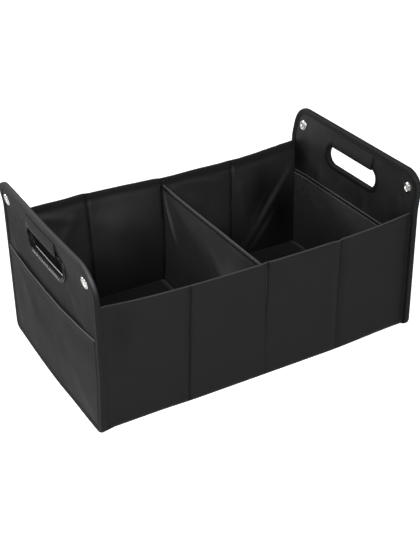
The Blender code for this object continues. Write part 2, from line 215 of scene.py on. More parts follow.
def settled(point):
    """Where a point of the upright organiser is as it really stands."""
    x, y, z = point
    along = x / (2 * OUTER_X) + 0.5
    up = z / PANEL_HEIGHT
    left = LEFT_FOOT + LEFT_LEAN * up + LEFT_FLARE * ease(z, 0.200, 0.252)
    right = RIGHT_FOOT + RIGHT_LEAN * up + RIGHT_FLARE * ease(z, 0.185, 0.240)
    on_left = ease(-x, INNER_X - 0.010, INNER_X - 0.002)
    on_right = ease(x, INNER_X - 0.010, INNER_X - 0.002)
    shift = Vector((left + (right - left) * along, 0.0, 0.0))
    shift.x += on_left * left_end_shift(y, z) + on_right * right_end_shift(y, z) + fold_drift(x, y, z)
    shift.y += on_left * LEFT_FORWARD
    shift.y += back_bow(x, z) * ease(y, 0.118, 0.132)
    if abs(y) < BETWEEN_LININGS:
        shift.x += divider_pull(y, z) * math.exp(-((x / DIVIDER_NEAR) ** 2))
    elif y > 0:
        shift.x -= BACK_NOTCH * ease(z, 0.155, 0.184) * math.exp(-((x / NOTCH_NEAR) ** 2))
    on_floor = 0.001 < z < 0.0085 and 0.0035 < abs(x) < 0.2425 and abs(y) < INSIDE_Y
    if on_floor:
        shift.z += FLOOR_RISE * (y / INSIDE_Y + 1) / 2
    return Vector(point) + shift


top_corner = Vector((-0.25, 0.12, 0.248))
print("a top corner of the left end moves by", settled(top_corner) - top_corner)

# %% [markdown]
# ## Folds and puckers
#
# A crease in cloth is a long soft ridge that rises and dies away, a seam draws the cloth into short
# puckers, and slack cloth rolls gently. They could be sculpted by hand, but then no fold could be moved
# later on. Here each has its own small function that gives a height. The heights are added, and each
# cloth is moved by the sum towards the side that it faces.


# %% Fold helpers
def ridge(x, y, fold):
    """Height at (x, y) of one fold: start, end, half width and height, all in metres."""
    (ax, ay), (bx, by), width, height = fold
    run = Vector((bx - ax, by - ay))
    away = Vector((x - ax, y - ay))
    at = away.dot(run) / run.length_squared
    if at <= 0 or at >= 1:
        return 0.0
    across = away.cross(run) / run.length
    return height * math.exp(-((across / width) ** 2)) * math.sin(math.pi * at) ** 0.7


def ridges(x, y, folds):
    return sum(ridge(x, y, fold) for fold in folds)


def roll(x, y, seed, scale):
    """Slow rolling of slack cloth, from -1 to 1."""
    return noise.noise(Vector((x / scale, y / scale, seed))) * 1.6


def pucker(along, away, seed, pitch=0.013, reach=0.010):
    """Short waves that a seam draws, from -1 to 1, dying out away from it."""
    drift = noise.noise(Vector((along * 18, seed, 0.0))) * 3.0
    size = 0.6 + 0.7 * noise.noise(Vector((along * 40, seed, 5.0)))
    return size * math.sin(2 * math.pi * along / pitch + drift) * math.exp(-away / reach)


# %% [markdown]
# ## Finishes
#
# The outer cloth is a coarse plain weave, the lining is the same yarn with a coated, smoother face, and
# the tape is a close ribbed weave. A picture of cloth could be laid over them, but it would blur close
# up. Instead all cloths share one node group that turns a coordinate in metres into a weave height, a
# tone and a patchy roughness, so each only sets its own scale and strength. The cloth's own UV map
# holds metres on the flat cut, which makes the weave follow every fold.


# %% The weave group
def new_group(name, inputs, outputs):
    group = bpy.data.node_groups.new(name, "ShaderNodeTree")
    for title, kind, default in inputs:
        socket = group.interface.new_socket(title, in_out="INPUT", socket_type=kind)
        if default is not None:
            socket.default_value = default
    for title, kind in outputs:
        group.interface.new_socket(title, in_out="OUTPUT", socket_type=kind)
    return group, group.nodes.new("NodeGroupInput"), group.nodes.new("NodeGroupOutput")


def math_node(tree, operation, first, second=None, third=None):
    node = tree.nodes.new("ShaderNodeMath")
    node.operation = operation
    for socket, value in zip(node.inputs, (first, second, third)):
        if value is None:
            continue
        if isinstance(value, (int, float)):
            socket.default_value = value
        else:
            tree.links.new(value, socket)
    return node.outputs[0]


def noise_node(tree, vector, scale, detail=2.0, roughness=0.5):
    node = tree.nodes.new("ShaderNodeTexNoise")
    node.inputs["Scale"].default_value = scale
    node.inputs["Detail"].default_value = detail
    node.inputs["Roughness"].default_value = roughness
    tree.links.new(vector, node.inputs["Vector"])
    return node.outputs["Fac"]


weave_group, weave_in, weave_out = new_group(
    "woven_cloth",
    [
        ("Vector", "NodeSocketVector", None),
        ("Threads across", "NodeSocketFloat", 1400.0),
        ("Threads along", "NodeSocketFloat", 1400.0),
        ("Slub", "NodeSocketFloat", 0.25),
        ("Patches", "NodeSocketFloat", 0.3),
    ],
    [("Height", "NodeSocketFloat"), ("Tone", "NodeSocketFloat"), ("Gloss patches", "NodeSocketFloat")],
)
split = weave_group.nodes.new("ShaderNodeSeparateXYZ")
weave_group.links.new(weave_in.outputs["Vector"], split.inputs[0])
warp_turns = math_node(weave_group, "MULTIPLY", split.outputs[0], weave_in.outputs["Threads across"])
weft_turns = math_node(weave_group, "MULTIPLY", split.outputs[1], weave_in.outputs["Threads along"])
warp = math_node(weave_group, "SINE", math_node(weave_group, "MULTIPLY", warp_turns, math.pi))
weft = math_node(weave_group, "SINE", math_node(weave_group, "MULTIPLY", weft_turns, math.pi))
over_under = math_node(weave_group, "MULTIPLY_ADD", math_node(weave_group, "MULTIPLY", warp, weft), 0.5, 0.5)
slub = noise_node(weave_group, weave_in.outputs["Vector"], 900.0, 3.0)
slub = math_node(weave_group, "MULTIPLY", slub, weave_in.outputs["Slub"])
weave_height = math_node(weave_group, "ADD", over_under, slub)
weave_group.links.new(weave_height, weave_out.inputs["Height"])
patches = noise_node(weave_group, weave_in.outputs["Vector"], 22.0, 4.0, 0.6)
patch_swing = math_node(weave_group, "SUBTRACT", patches, 0.5)
patch_swing = math_node(weave_group, "MULTIPLY", patch_swing, weave_in.outputs["Patches"])
tone = math_node(weave_group, "MULTIPLY_ADD", over_under, 0.5, 0.72)
tone = math_node(weave_group, "ADD", tone, patch_swing)
weave_group.links.new(tone, weave_out.inputs["Tone"])
weave_group.links.new(patch_swing, weave_out.inputs["Gloss patches"])
print("weave group sockets:", len(weave_group.interface.items_tree))

# %% [markdown]
# Each cloth on the organiser has its own finish. The lining is coated twice, so it is glossier than the
# outside. The wall lining and the divider's lining are a darker and a lighter copy of it, for painted shade
# and painted light. The floor, the grips, the net and the thread differ in colour and gloss in the same way.
# Light and shade are also painted into every cloth's colour: painted highlights on crests and edges, which
# are made a little smoother too, and painted shade in hollows, creases and shaded places. They could be
# painted on an image, but then they would not move with the fold. Instead every cloth reads them from one
# number at each of its points, an attribute on the mesh that is above 0 for a painted highlight and below 0
# for painted shade.

# %% Cloth materials
PAINTED_LIGHT_GAIN = 4.0
PAINTED_LIGHT_SMOOTHING = -0.05
RELIEF_DEPTH = 0.0002


def shader_of(name):
    material = bpy.data.materials.new(name)
    material.use_nodes = True
    return material, material.node_tree, material.node_tree.nodes["Principled BSDF"]


def tinted(tree, colour, tone):
    """The colour multiplied by a tone that varies over the surface."""
    mix = tree.nodes.new("ShaderNodeVectorMath")
    mix.operation = "SCALE"
    mix.inputs[0].default_value = colour
    tree.links.new(tone, mix.inputs["Scale"])
    return mix.outputs[0]


def cloth_material(name, colour, roughness, threads, bump, specular, sheen, slub=0.25, patches=0.3):
    material, tree, shader = shader_of(name)
    flat_cut = tree.nodes.new("ShaderNodeUVMap")
    flat_cut.uv_map = "flat_cut"
    weave = tree.nodes.new("ShaderNodeGroup")
    weave.node_tree = weave_group
    tree.links.new(flat_cut.outputs[0], weave.inputs["Vector"])
    weave.inputs["Threads across"].default_value = threads[0]
    weave.inputs["Threads along"].default_value = threads[1]
    weave.inputs["Slub"].default_value = slub
    weave.inputs["Patches"].default_value = patches
    # Painted light and shade: the mesh attribute brightens or darkens the base colour, and makes painted
    # highlights a little smoother.
    painted_light = tree.nodes.new("ShaderNodeAttribute")
    painted_light.attribute_name = "painted_light"
    bright = math_node(tree, "MULTIPLY_ADD", painted_light.outputs["Fac"], PAINTED_LIGHT_GAIN, 1.0)
    tone = math_node(tree, "MULTIPLY", weave.outputs["Tone"], bright)
    tree.links.new(tinted(tree, colour, tone), shader.inputs["Base Color"])
    rough = math_node(tree, "MULTIPLY_ADD", weave.outputs["Gloss patches"], 0.5, roughness)
    rough = math_node(tree, "MULTIPLY_ADD", painted_light.outputs["Fac"], PAINTED_LIGHT_SMOOTHING, rough)
    tree.links.new(rough, shader.inputs["Roughness"])
    relief = tree.nodes.new("ShaderNodeBump")
    relief.inputs["Strength"].default_value = bump
    relief.inputs["Distance"].default_value = RELIEF_DEPTH
    tree.links.new(weave.outputs["Height"], relief.inputs["Height"])
    tree.links.new(relief.outputs[0], shader.inputs["Normal"])
    shader.inputs["Specular IOR Level"].default_value = specular
    shader.inputs["Sheen Weight"].default_value = sheen
    shader.inputs["Sheen Roughness"].default_value = 0.45
    return material


OUTER_CLOTH = cloth_material("outer_cloth", (0.0115, 0.0115, 0.012), 0.58, (1500, 1500), 0.5, 0.12, 0.03)
# Painted shade: the wall lining is a darker copy of the lining cloth.
WALL_LINING_SHADED = cloth_material(
    "wall_lining_cloth", (0.0155, 0.0155, 0.0159), 0.44, (1800, 1800), 0.3, 0.34, 0.02
)
LINING_CLOTH = cloth_material("lining_cloth", (0.0185, 0.0185, 0.019), 0.44, (1800, 1800), 0.3, 0.32, 0.02)
# Painted light: the divider's cloth is a lighter copy of the lining cloth.
DIVIDER_LINING_LIT = cloth_material("divider_cloth", (0.043, 0.043, 0.044), 0.42, (1800, 1800), 0.3, 0.50, 0.03)
FLOOR_CLOTH = cloth_material("floor_cloth", (0.024, 0.024, 0.0245), 0.50, (1800, 1800), 0.4, 0.42, 0.03)
TAPE_CLOTH = cloth_material("edge_tape", (0.0085, 0.0085, 0.009), 0.54, (2600, 900), 0.5, 0.15, 0.02)
GRIP_CLOTH = cloth_material("grip_cloth", (0.0105, 0.0105, 0.0109), 0.56, (1500, 1500), 0.5, 0.14, 0.03)
NET_YARN = cloth_material("net_yarn", (0.046, 0.046, 0.047), 0.50, (2200, 2200), 0.4, 0.34, 0.06)
THREAD = cloth_material("sewing_thread", (0.012, 0.012, 0.0125), 0.55, (5000, 5000), 0.3, 0.20, 0.05)
cloths = (OUTER_CLOTH, WALL_LINING_SHADED, LINING_CLOTH, DIVIDER_LINING_LIT, FLOOR_CLOTH, TAPE_CLOTH, GRIP_CLOTH)
print("cloth finishes:", [material.name for material in (*cloths, NET_YARN, THREAD)])

# %% [markdown]
# The rings are injection moulded in black plastic: polished on the faces that a hand slides over, and
# matt in the slot, as the mould leaves it. The eyelets are nickel-plated, so they mirror the bright
# studio. The boards are grey pressed board that only shows if a cloth is taken off. One plain colour
# for each would look unreal close up, so faint marks change the tone and the gloss of all of them. None
# follows a flat cut, so they read Object coordinates.


# %% Plastic, metal and board
def object_coordinates(tree):
    return tree.nodes.new("ShaderNodeTexCoord").outputs["Object"]


def solid_material(name, colour, roughness, swing, scale, bump, metallic=0.0):
    material, tree, shader = shader_of(name)
    place = object_coordinates(tree)
    marks = noise_node(tree, place, scale, 5.0, 0.6)
    tone = math_node(tree, "MULTIPLY_ADD", marks, 0.3, 0.85)
    tree.links.new(tinted(tree, colour, tone), shader.inputs["Base Color"])
    rough = math_node(tree, "MULTIPLY_ADD", marks, swing, roughness - swing / 2)
    tree.links.new(rough, shader.inputs["Roughness"])
    relief = tree.nodes.new("ShaderNodeBump")
    relief.inputs["Strength"].default_value = bump
    relief.inputs["Distance"].default_value = RELIEF_DEPTH
    tree.links.new(noise_node(tree, place, scale * 6, 2.0), relief.inputs["Height"])
    tree.links.new(relief.outputs[0], shader.inputs["Normal"])
    shader.inputs["Metallic"].default_value = metallic
    return material, shader


RING_PLASTIC, ring_shader = solid_material("ring_plastic", (0.004, 0.004, 0.0043), 0.22, 0.06, 120.0, 0.08)
ring_shader.inputs["Specular IOR Level"].default_value = 0.22
RING_MATT, matt_shader = solid_material("ring_matt", (0.006, 0.006, 0.0062), 0.58, 0.06, 300.0, 0.30)
matt_shader.inputs["Specular IOR Level"].default_value = 0.16
NICKEL = solid_material("nickel_plate", (0.86, 0.85, 0.83), 0.22, 0.12, 200.0, 0.10, 1.0)[0]
BOARD = solid_material("pressed_board", (0.15, 0.14, 0.13), 0.80, 0.10, 60.0, 0.60)[0]
print("solid finishes:", [material.name for material in (RING_PLASTIC, RING_MATT, NICKEL, BOARD)])

# %% [markdown]
# ## Making a piece
#
# Every piece ends the same way: it is settled into the stance, shaded smooth, given its finish, hung on the
# frame, and its CAD nodes are hidden. Most pieces have their flat-cut UV map written just before. An open
# sheet also gets a cloth's thickness from a Solidify modifier. The spots of painted light and painted shade
# on a cloth are soft round spots on its flat cut, listed for each cloth beside its folds.


# %% Finish a piece
def faced(bm, outwards):
    """Turn an open sheet so that its first faces look the way that is given."""
    bm.normal_update()
    bm.faces.ensure_lookup_table()
    lean = sum(face.normal.dot(outwards) for face in bm.faces[: max(1, len(bm.faces) // 50)])
    if lean < 0:
        bmesh.ops.reverse_faces(bm, faces=bm.faces)


def flat_map(bm, place):
    """Write each corner's place on the flat cut, in metres, into the UV map."""
    layer = bm.loops.layers.uv.get("flat_cut") or bm.loops.layers.uv.new("flat_cut")
    for face in bm.faces:
        for loop in face.loops:
            loop[layer].uv = place(loop.vert)


def paint_light(bm, amount):
    """Write the painted light at each point: above 0 a painted highlight, below 0 painted shade."""
    layer = bm.verts.layers.float.new("painted_light")
    for vert in bm.verts:
        vert[layer] = amount(vert)


def finish_piece(name, bm, material, nodes=(), slot=None, sharp=40.0, thickness=0.0):
    for vert in bm.verts:
        vert.co = settled(vert.co)
    mesh = bpy.data.meshes.new(name)
    bm.to_mesh(mesh)
    bm.free()
    mesh.materials.append(material)
    mesh.shade_smooth()
    mesh.set_sharp_from_angle(angle=math.radians(sharp))
    obj = bpy.data.objects.new(name, mesh)
    bpy.context.scene.collection.objects.link(obj)
    if thickness:
        wall = obj.modifiers.new("cloth thickness", "SOLIDIFY")
        wall.thickness = thickness
        wall.offset = -1.0
    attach(obj, "root")
    if nodes:
        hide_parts(*nodes)
    print(f"{name}: {len(mesh.polygons)} faces")
    return obj


def crowded(u, marks):
    """Slide a column of a grid towards the nearest mark, so that creases get more columns."""
    for mark in marks:
        away = u - mark
        u -= 0.80 * away * math.exp(-((away / 0.018) ** 2))
    return u


def painted_light_spots(u, v, places):
    """Spots (u, v, reach across, reach up, amount) of painted light or, below 0, painted shade on a cloth."""
    return sum(
        amount * math.exp(-(((u - at_u) / reach_u) ** 2) - (((v - at_v) / reach_v) ** 2))
        for at_u, at_v, reach_u, reach_v, amount in places
    )


def grid_sheet(
    name, columns, rows, place, outwards, material, nodes, slot, flat, light_and_shade, close_to=(), thickness=CLOTH
):
    """A sheet of cloth: a flat grid whose points are sent to place(u, v), with u and v from 0 to 1."""
    bm = bmesh.new()
    bmesh.ops.create_grid(bm, x_segments=columns, y_segments=rows, size=0.5)
    cut = {}
    for vert in bm.verts:
        u, v = crowded(vert.co.x + 0.5, close_to), vert.co.y + 0.5
        cut[vert.index] = (u * flat[0], v * flat[1])
        vert.co = place(u, v)
    flat_map(bm, lambda vert: cut[vert.index])
    paint_light(bm, lambda vert: light_and_shade(cut[vert.index][0] / flat[0], cut[vert.index][1] / flat[1]))
    faced(bm, outwards)
    return finish_piece(name, bm, material, nodes, slot, 60.0, thickness)


# %% [markdown]
# ## The long walls
#
# The outer cloth runs up the outside of four boards, rolls over their top edges and is turned down
# inside as a narrow hem. That is one sheet, so it is one grid: most of its rows climb the outside, a few
# go round the roll and the last ones come down the hem. Between boards the cloth dips, and the top edge
# hangs a little between the ends because only they hold it up.

# %% Wall shape
BOARD_ROWS = 44
ROLL_ROWS = 8
HEM_ROWS = 5
WALL_COLUMNS = 136
ROLL_RADIUS = WALL_DEPTH / 2
FOLDS = (-FOLD_X, 0.0, FOLD_X)
BACK_TOP = [
    (-0.2435, 0.1885), (-0.200, 0.1880), (-0.155, 0.1870), (-0.126, 0.1878), (-0.112, 0.1862),
    (-0.068, 0.1855), (-0.038, 0.1848), (-0.008, 0.1846), (0.007, 0.1829), (0.022, 0.1825),
    (0.053, 0.1828), (0.101, 0.1820), (0.117, 0.1826), (0.134, 0.1821), (0.150, 0.1830),
    (0.167, 0.1840), (0.183, 0.1856), (0.200, 0.1870), (0.217, 0.1888), (0.2435, 0.1905),
]


def wall_top(side, x):
    """Height of a long wall's top edge."""
    if side > 0:
        return between(x, BACK_TOP) + 0.0008
    top = WALL_TOP - FRONT_SAG * (1 - abs(x / WALL_END) ** 3)
    top += 0.0012 * math.exp(-((x / 0.006) ** 2))
    top -= 0.0014 * math.exp(-(((x - FOLD_X + 0.004) / 0.007) ** 2))
    top += 0.0010 * math.exp(-(((x - FOLD_X - 0.004) / 0.006) ** 2))
    return top + 0.0005 * roll(x, side, 3.0, 0.05)


def wall_bottom(side, x):
    """The front wall's lower edge hangs clear of the ground near the ends."""
    if side > 0:
        return WALL_BOTTOM
    return WALL_BOTTOM + 0.0016 * ease(-x, 0.10, 0.17) + 0.0046 * ease(x, 0.10, 0.235)


def fold_dip(x, z):
    """How far the cloth dips in between two boards: a sharp crease in a soft valley."""
    dip = 0.0
    for fold, deep, wide in zip(FOLDS, (0.0022, 0.0026, 0.0020), (0.0015, 0.0014, 0.0022)):
        away = x - fold - 0.0004 * math.sin(z * 40 + fold * 9)
        if fold == 0.0:
            deep *= 0.35 + 0.65 * ease(z, 0.060, 0.130)
        dip += deep * math.exp(-((away / wide) ** 2))
    dip += 0.0018 * math.exp(-(((WALL_END - 0.002 - abs(x)) / 0.0035) ** 2))
    return dip


def panel_crown(x):
    """Each board's cloth stands a little proud in the middle, from 0 to 1."""
    for low, high in zip((-WALL_END, *FOLDS), (*FOLDS, WALL_END)):
        if low <= x <= high:
            return math.sin(math.pi * (x - low) / (high - low))
    return 0.0


FRONT_FOLDS = [
    ((-0.214, 0.180), (-0.176, 0.108), 0.0090, 0.0014),
    ((-0.232, 0.150), (-0.150, 0.060), 0.016, 0.0010),
    ((-0.228, 0.176), (-0.185, 0.120), 0.008, 0.0008),
    ((-0.105, 0.160), (-0.040, 0.020), 0.022, 0.0006),
    ((0.012, 0.172), (0.040, 0.080), 0.009, -0.0005),
    ((0.130, 0.170), (0.200, 0.060), 0.020, 0.0006),
]


def wall_cover_place(side, folds):
    rows = BOARD_ROWS + ROLL_ROWS + HEM_ROWS

    def place(u, v):
        x = WALL_END * (2 * u - 1)
        row = v * rows
        top = wall_top(side, x)
        bottom = wall_bottom(side, x)
        straight = top - ROLL_RADIUS - bottom
        if row <= BOARD_ROWS:
            z = bottom + straight * row / BOARD_ROWS
            free = ease(z, bottom, 0.012) * ease(top - z, 0.0, 0.015)
            depth = fold_dip(x, z) - 0.0007 * panel_crown(x) * free
            depth -= free * (ridges(x, z, folds) + 0.0004 * roll(x, z, side + 7.0, 0.045))
            depth -= 0.00025 * pucker(x, z - bottom, side + 1.0)
            depth -= 0.00020 * pucker(x, max(0.0, top - z), side + 2.0)
        elif row <= BOARD_ROWS + ROLL_ROWS:
            turn = math.pi * (row - BOARD_ROWS) / ROLL_ROWS
            dip = fold_dip(x, top)
            radius = ROLL_RADIUS - dip * 0.7
            depth = ROLL_RADIUS - radius * math.cos(turn)
            z = top - ROLL_RADIUS + ROLL_RADIUS * math.sin(turn)
        else:
            down = (row - BOARD_ROWS - ROLL_ROWS) / HEM_ROWS
            z = top - ROLL_RADIUS - (HEM - ROLL_RADIUS) * down
            depth = WALL_DEPTH - fold_dip(x, z) * 0.7
            depth += 0.0002 * pucker(x, 0.0, side + 4.0, 0.009) * down
        return Vector((x, side * (WALL_FACE - depth), z))

    return place


FOLD_MARKS = [0.5 + fold / (2 * WALL_END) for fold in FOLDS]
CREST = (BOARD_ROWS + 0.45 * ROLL_ROWS) / (BOARD_ROWS + ROLL_ROWS + HEM_ROWS)
# Painted shade along the fold lines, in hollows beside the folds and near both ends, and one small patch of
# painted light.
FRONT_PAINTED_LIGHT = [
    (0.055, 0.62, 0.030, 0.16, -0.07),
    (FOLD_MARKS[0] - 0.006, 0.45, 0.010, 0.60, -0.04),
    (FOLD_MARKS[0], 0.50, 0.0035, 0.80, -0.14),
    (FOLD_MARKS[1], 0.85, 0.0045, 0.30, -0.24),
    (FOLD_MARKS[1], 0.30, 0.0040, 0.30, -0.06),
    (FOLD_MARKS[2] - 0.012, 0.45, 0.012, 0.60, 0.03),
    (FOLD_MARKS[2] + 0.008, 0.45, 0.012, 0.60, -0.05),
    (FOLD_MARKS[2], 0.80, 0.0040, 0.50, -0.12),
    (0.990, 0.45, 0.030, 0.60, -0.08),
]


def crest_highlight_and_fold_shade(u, v):
    """A painted highlight along the folded top edge, painted shade in the hollows beside the folds, and
    painted light and shade in patches.
    """
    return 2.1 * math.exp(-(((v - CREST) / 0.014) ** 2)) + painted_light_spots(u, v, FRONT_PAINTED_LIGHT)


# %% Wall covers
for wall_name, side, folds in (("front", -1, FRONT_FOLDS), ("back", 1, [])):
    cut = (2 * WALL_END, WALL_TOP - WALL_BOTTOM + math.pi * ROLL_RADIUS + HEM - 2 * ROLL_RADIUS)
    cover = grid_sheet(
        f"{wall_name}_wall_outer_cloth",
        WALL_COLUMNS,
        BOARD_ROWS + ROLL_ROWS + HEM_ROWS,
        wall_cover_place(side, folds),
        Vector((0, side, 0)),
        OUTER_CLOTH,
        [f"{wall_name}_wall_cover"],
        "outer_cloth",
        cut,
        light_and_shade=crest_highlight_and_fold_shade,
        close_to=FOLD_MARKS,
    )

# %% [markdown]
# The lining is not stretched over anything, so it shows every pull: fans of folds run from the corners where
# the end panel and the divider tug it. A simulation would put such folds wherever it likes, so each is placed
# as seen in the photograph, in metres along the wall and up it. The crest of a fold gets a painted highlight,
# so it is brighter.

# %% Wall linings
BACK_LINING_FOLDS = [
    ((0.238, 0.152), (0.132, 0.006), 0.0050, 0.0034),
    ((0.190, 0.120), (0.150, 0.040), 0.0040, 0.0012),
    ((0.205, 0.078), (0.148, 0.004), 0.0045, 0.0026),
    ((0.132, 0.165), (0.150, 0.030), 0.0080, 0.0016),
    ((-0.232, 0.178), (-0.130, 0.150), 0.0070, 0.0024),
    ((-0.225, 0.165), (-0.165, 0.120), 0.0080, 0.0018),
    ((-0.140, 0.165), (-0.185, 0.080), 0.0070, 0.0016),
    ((-0.108, 0.150), (-0.060, 0.110), 0.0160, 0.0022),
    ((-0.112, 0.110), (-0.040, 0.030), 0.0200, 0.0016),
    ((0.004, 0.170), (0.070, 0.118), 0.0080, 0.0024),
    ((0.010, 0.176), (0.108, 0.150), 0.0060, 0.0014),
    ((0.030, 0.140), (0.100, 0.050), 0.0160, 0.0016),
]
FRONT_LINING_FOLDS = [
    ((-0.232, 0.165), (-0.150, 0.070), 0.0090, 0.0020),
    ((-0.020, 0.160), (-0.100, 0.060), 0.0100, 0.0018),
    ((0.015, 0.155), (0.095, 0.070), 0.0100, 0.0018),
    ((0.232, 0.160), (0.150, 0.040), 0.0080, 0.0022),
]
LINING_ROWS = 60
# Painted light and shade on the wall linings: lighter and darker patches on the back lining, painted shade
# along its fold lines, and a band of painted shade under the hem of both.
LINING_PAINTED_LIGHT = {
    1: [
        (0.215, 0.50, 0.060, 0.20, 0.16),
        (0.360, 0.80, 0.090, 0.20, 0.22),
        (0.400, 0.25, 0.070, 0.20, -0.06),
        (0.600, 0.75, 0.060, 0.20, 0.06),
        (0.690, 0.50, 0.060, 0.20, 0.18),
        (0.855, 0.68, 0.040, 0.26, -0.14),
        (0.945, 0.38, 0.075, 0.34, -0.25),
        (FOLD_MARKS[0], 0.50, 0.0040, 0.90, -0.22),
        (FOLD_MARKS[1] - 0.004, 0.50, 0.0060, 0.90, -0.16),
        (FOLD_MARKS[2], 0.50, 0.0040, 0.90, -0.22),
        (0.500, 0.955, 3.0, 0.016, -0.10),
    ],
    -1: [(0.500, 0.955, 3.0, 0.016, -0.10)],
}
# How strongly a fold's height becomes a painted highlight on its crest.
CREST_HIGHLIGHT_GAIN = 45.0


def lining_painted_light(u, v, side, folds):
    """A painted highlight along the crests of the lining's folds, and painted light and shade in patches."""
    x = WALL_END * (2 * u - 1)
    return painted_light_spots(u, v, LINING_PAINTED_LIGHT[side]) + CREST_HIGHLIGHT_GAIN * ridges(x, WALL_TOP * v, folds)


def lining_crease(x, z):
    """The lining sinks in towards each fold and stands proud again just past it."""
    stand = 0.0
    for fold in FOLDS:
        past = x - fold - 0.0004 * math.sin(z * 35 + fold * 50)
        stand -= 0.0024 * math.exp(-((past / 0.0012) ** 2))
        if past > 0:
            stand += 0.0008 * ease(past, 0.0012, 0.0030) * math.exp(-past / 0.014)
    return stand


def wall_lining_place(side, folds):
    def place(u, v):
        x = WALL_END * (2 * u - 1)
        top = wall_top(side, x) - ROLL_RADIUS
        bottom = wall_bottom(side, x) + 0.0008
        z = bottom + (top - bottom) * v
        free = ease(z, 0.006, 0.022) * ease(top - z, HEM * 0.7, HEM + 0.010)
        free *= ease(abs(x), 0.003, 0.016) * ease(WALL_END - abs(x), 0.001, 0.012)
        stand = free * (0.0008 + ridges(x, z, folds) + 0.0008 * roll(x, z, side + 11.0, 0.060))
        stand = max(0.0, stand) + lining_crease(x, z) * (0.35 + 0.65 * ease(top - z, 0.0, HEM + 0.004))
        return Vector((x, side * (LINING_Y - stand), z))

    return place


for wall_name, side, folds in (("front", -1, FRONT_LINING_FOLDS), ("back", 1, BACK_LINING_FOLDS)):
    cut = (2 * WALL_END, WALL_TOP - WALL_BOTTOM)
    lining = grid_sheet(
        f"{wall_name}_wall_lining_cloth",
        WALL_COLUMNS,
        LINING_ROWS,
        wall_lining_place(side, folds),
        Vector((0, -side, 0)),
        WALL_LINING_SHADED,
        [f"{wall_name}_wall_lining"],
        "lining_cloth",
        cut,
        light_and_shade=lambda u, v, side=side, folds=folds: lining_painted_light(u, v, side, folds),
        close_to=FOLD_MARKS,
    )

# %% [markdown]
# ## The end panels' cloth
#
# The faces of an end have a slot and two round holes in them. Instead of building that outline again,
# the flat face of the CAD sheet is copied and sliced into a fine net with bisect_plane, which keeps the
# outline and the holes. Then the net is moved like any cloth: flat under the tape, the ring and the
# eyelets, slack between them.


# %% A fine copy of one face of a node
def slice_up(bm, low, high, step):
    """Cut a mesh across all three directions into cells about step wide."""
    for axis in (0, 1, 2):
        normal = Vector((0, 0, 0))
        normal[axis] = 1.0
        count = round((high[axis] - low[axis]) / step)
        for i in range(1, count):
            cut = low.lerp(high, i / count)
            geometry = bm.verts[:] + bm.edges[:] + bm.faces[:]
            bmesh.ops.bisect_plane(bm, geom=geometry, plane_co=cut, plane_no=normal, dist=1e-6)


def fine_face(node, outwards, step):
    """The flat face of a node that looks outwards, cut into cells about step wide."""
    bm = bmesh.new()
    bm.from_mesh(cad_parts[node].data)
    bmesh.ops.remove_doubles(bm, verts=bm.verts, dist=1e-5)
    bm.normal_update()
    low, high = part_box(node)
    reach = max(corner.dot(outwards) for corner in (low, high))
    away = [f for f in bm.faces if f.calc_center_median().dot(outwards) < reach - 1e-4]
    bmesh.ops.delete(bm, geom=away, context="FACES")
    bmesh.ops.dissolve_limit(bm, angle_limit=math.radians(1), verts=bm.verts, edges=bm.edges)
    slice_up(bm, low, high, step)
    return bm


SLOT_Z = (ring_low.z + ring_high.z) / 2
SLOT_HALF = (ring_high.y - ring_low.y) / 2
SLOT_RISE = (ring_high.z - ring_low.z) / 2
eyelet_boxes = [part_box("eyelet_left_front"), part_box("eyelet_left_back")]
EYELETS = [low.lerp(high, 0.5) for low, high in eyelet_boxes]


def edge_distance(y, z):
    """How far a point of an end panel is from its nearest edge, round corners counted."""
    side = HALF_WIDTH - abs(y)
    top = PANEL_HEIGHT - z
    if side < TOP_RADIUS and top < TOP_RADIUS:
        return TOP_RADIUS - math.hypot(TOP_RADIUS - side, TOP_RADIUS - top)
    return min(side, top, z)


def ring_distance(y, z):
    """How far a point is outside the slot ring's flange."""
    straight = SLOT_HALF - SLOT_RISE
    return math.hypot(max(0.0, abs(y) - straight), z - SLOT_Z) - SLOT_RISE


def end_slack(y, z, seed, folds):
    """How far an end panel's cloth stands off its board."""
    edge = edge_distance(y, z) - TAPE_WIDTH
    ring = ring_distance(y, z)
    free = ease(edge, 0.0, 0.016) * ease(ring, 0.0, 0.012)
    stand = 0.0
    for eyelet in EYELETS:
        away = math.hypot(y - eyelet.y, z - eyelet.z)
        turn = math.atan2(z - eyelet.z, y - eyelet.y)
        free *= ease(away, 0.008, 0.016)
        star = math.exp(-max(0.0, away - 0.0085) / 0.007)
        stand += 0.0005 * star * math.cos(7 * turn + seed) * ease(away, 0.007, 0.010)
    stand += free * (0.0009 * roll(y, z, seed, 0.050) + 0.0004 * roll(y, z, seed + 3, 0.018))
    stand += free * ridges(y, z, folds)
    stand += 0.0003 * pucker(y + z, max(0.0, edge), seed)
    stand += 0.0004 * pucker(y, max(0.0, ring), seed + 1, 0.011, 0.006)
    return stand


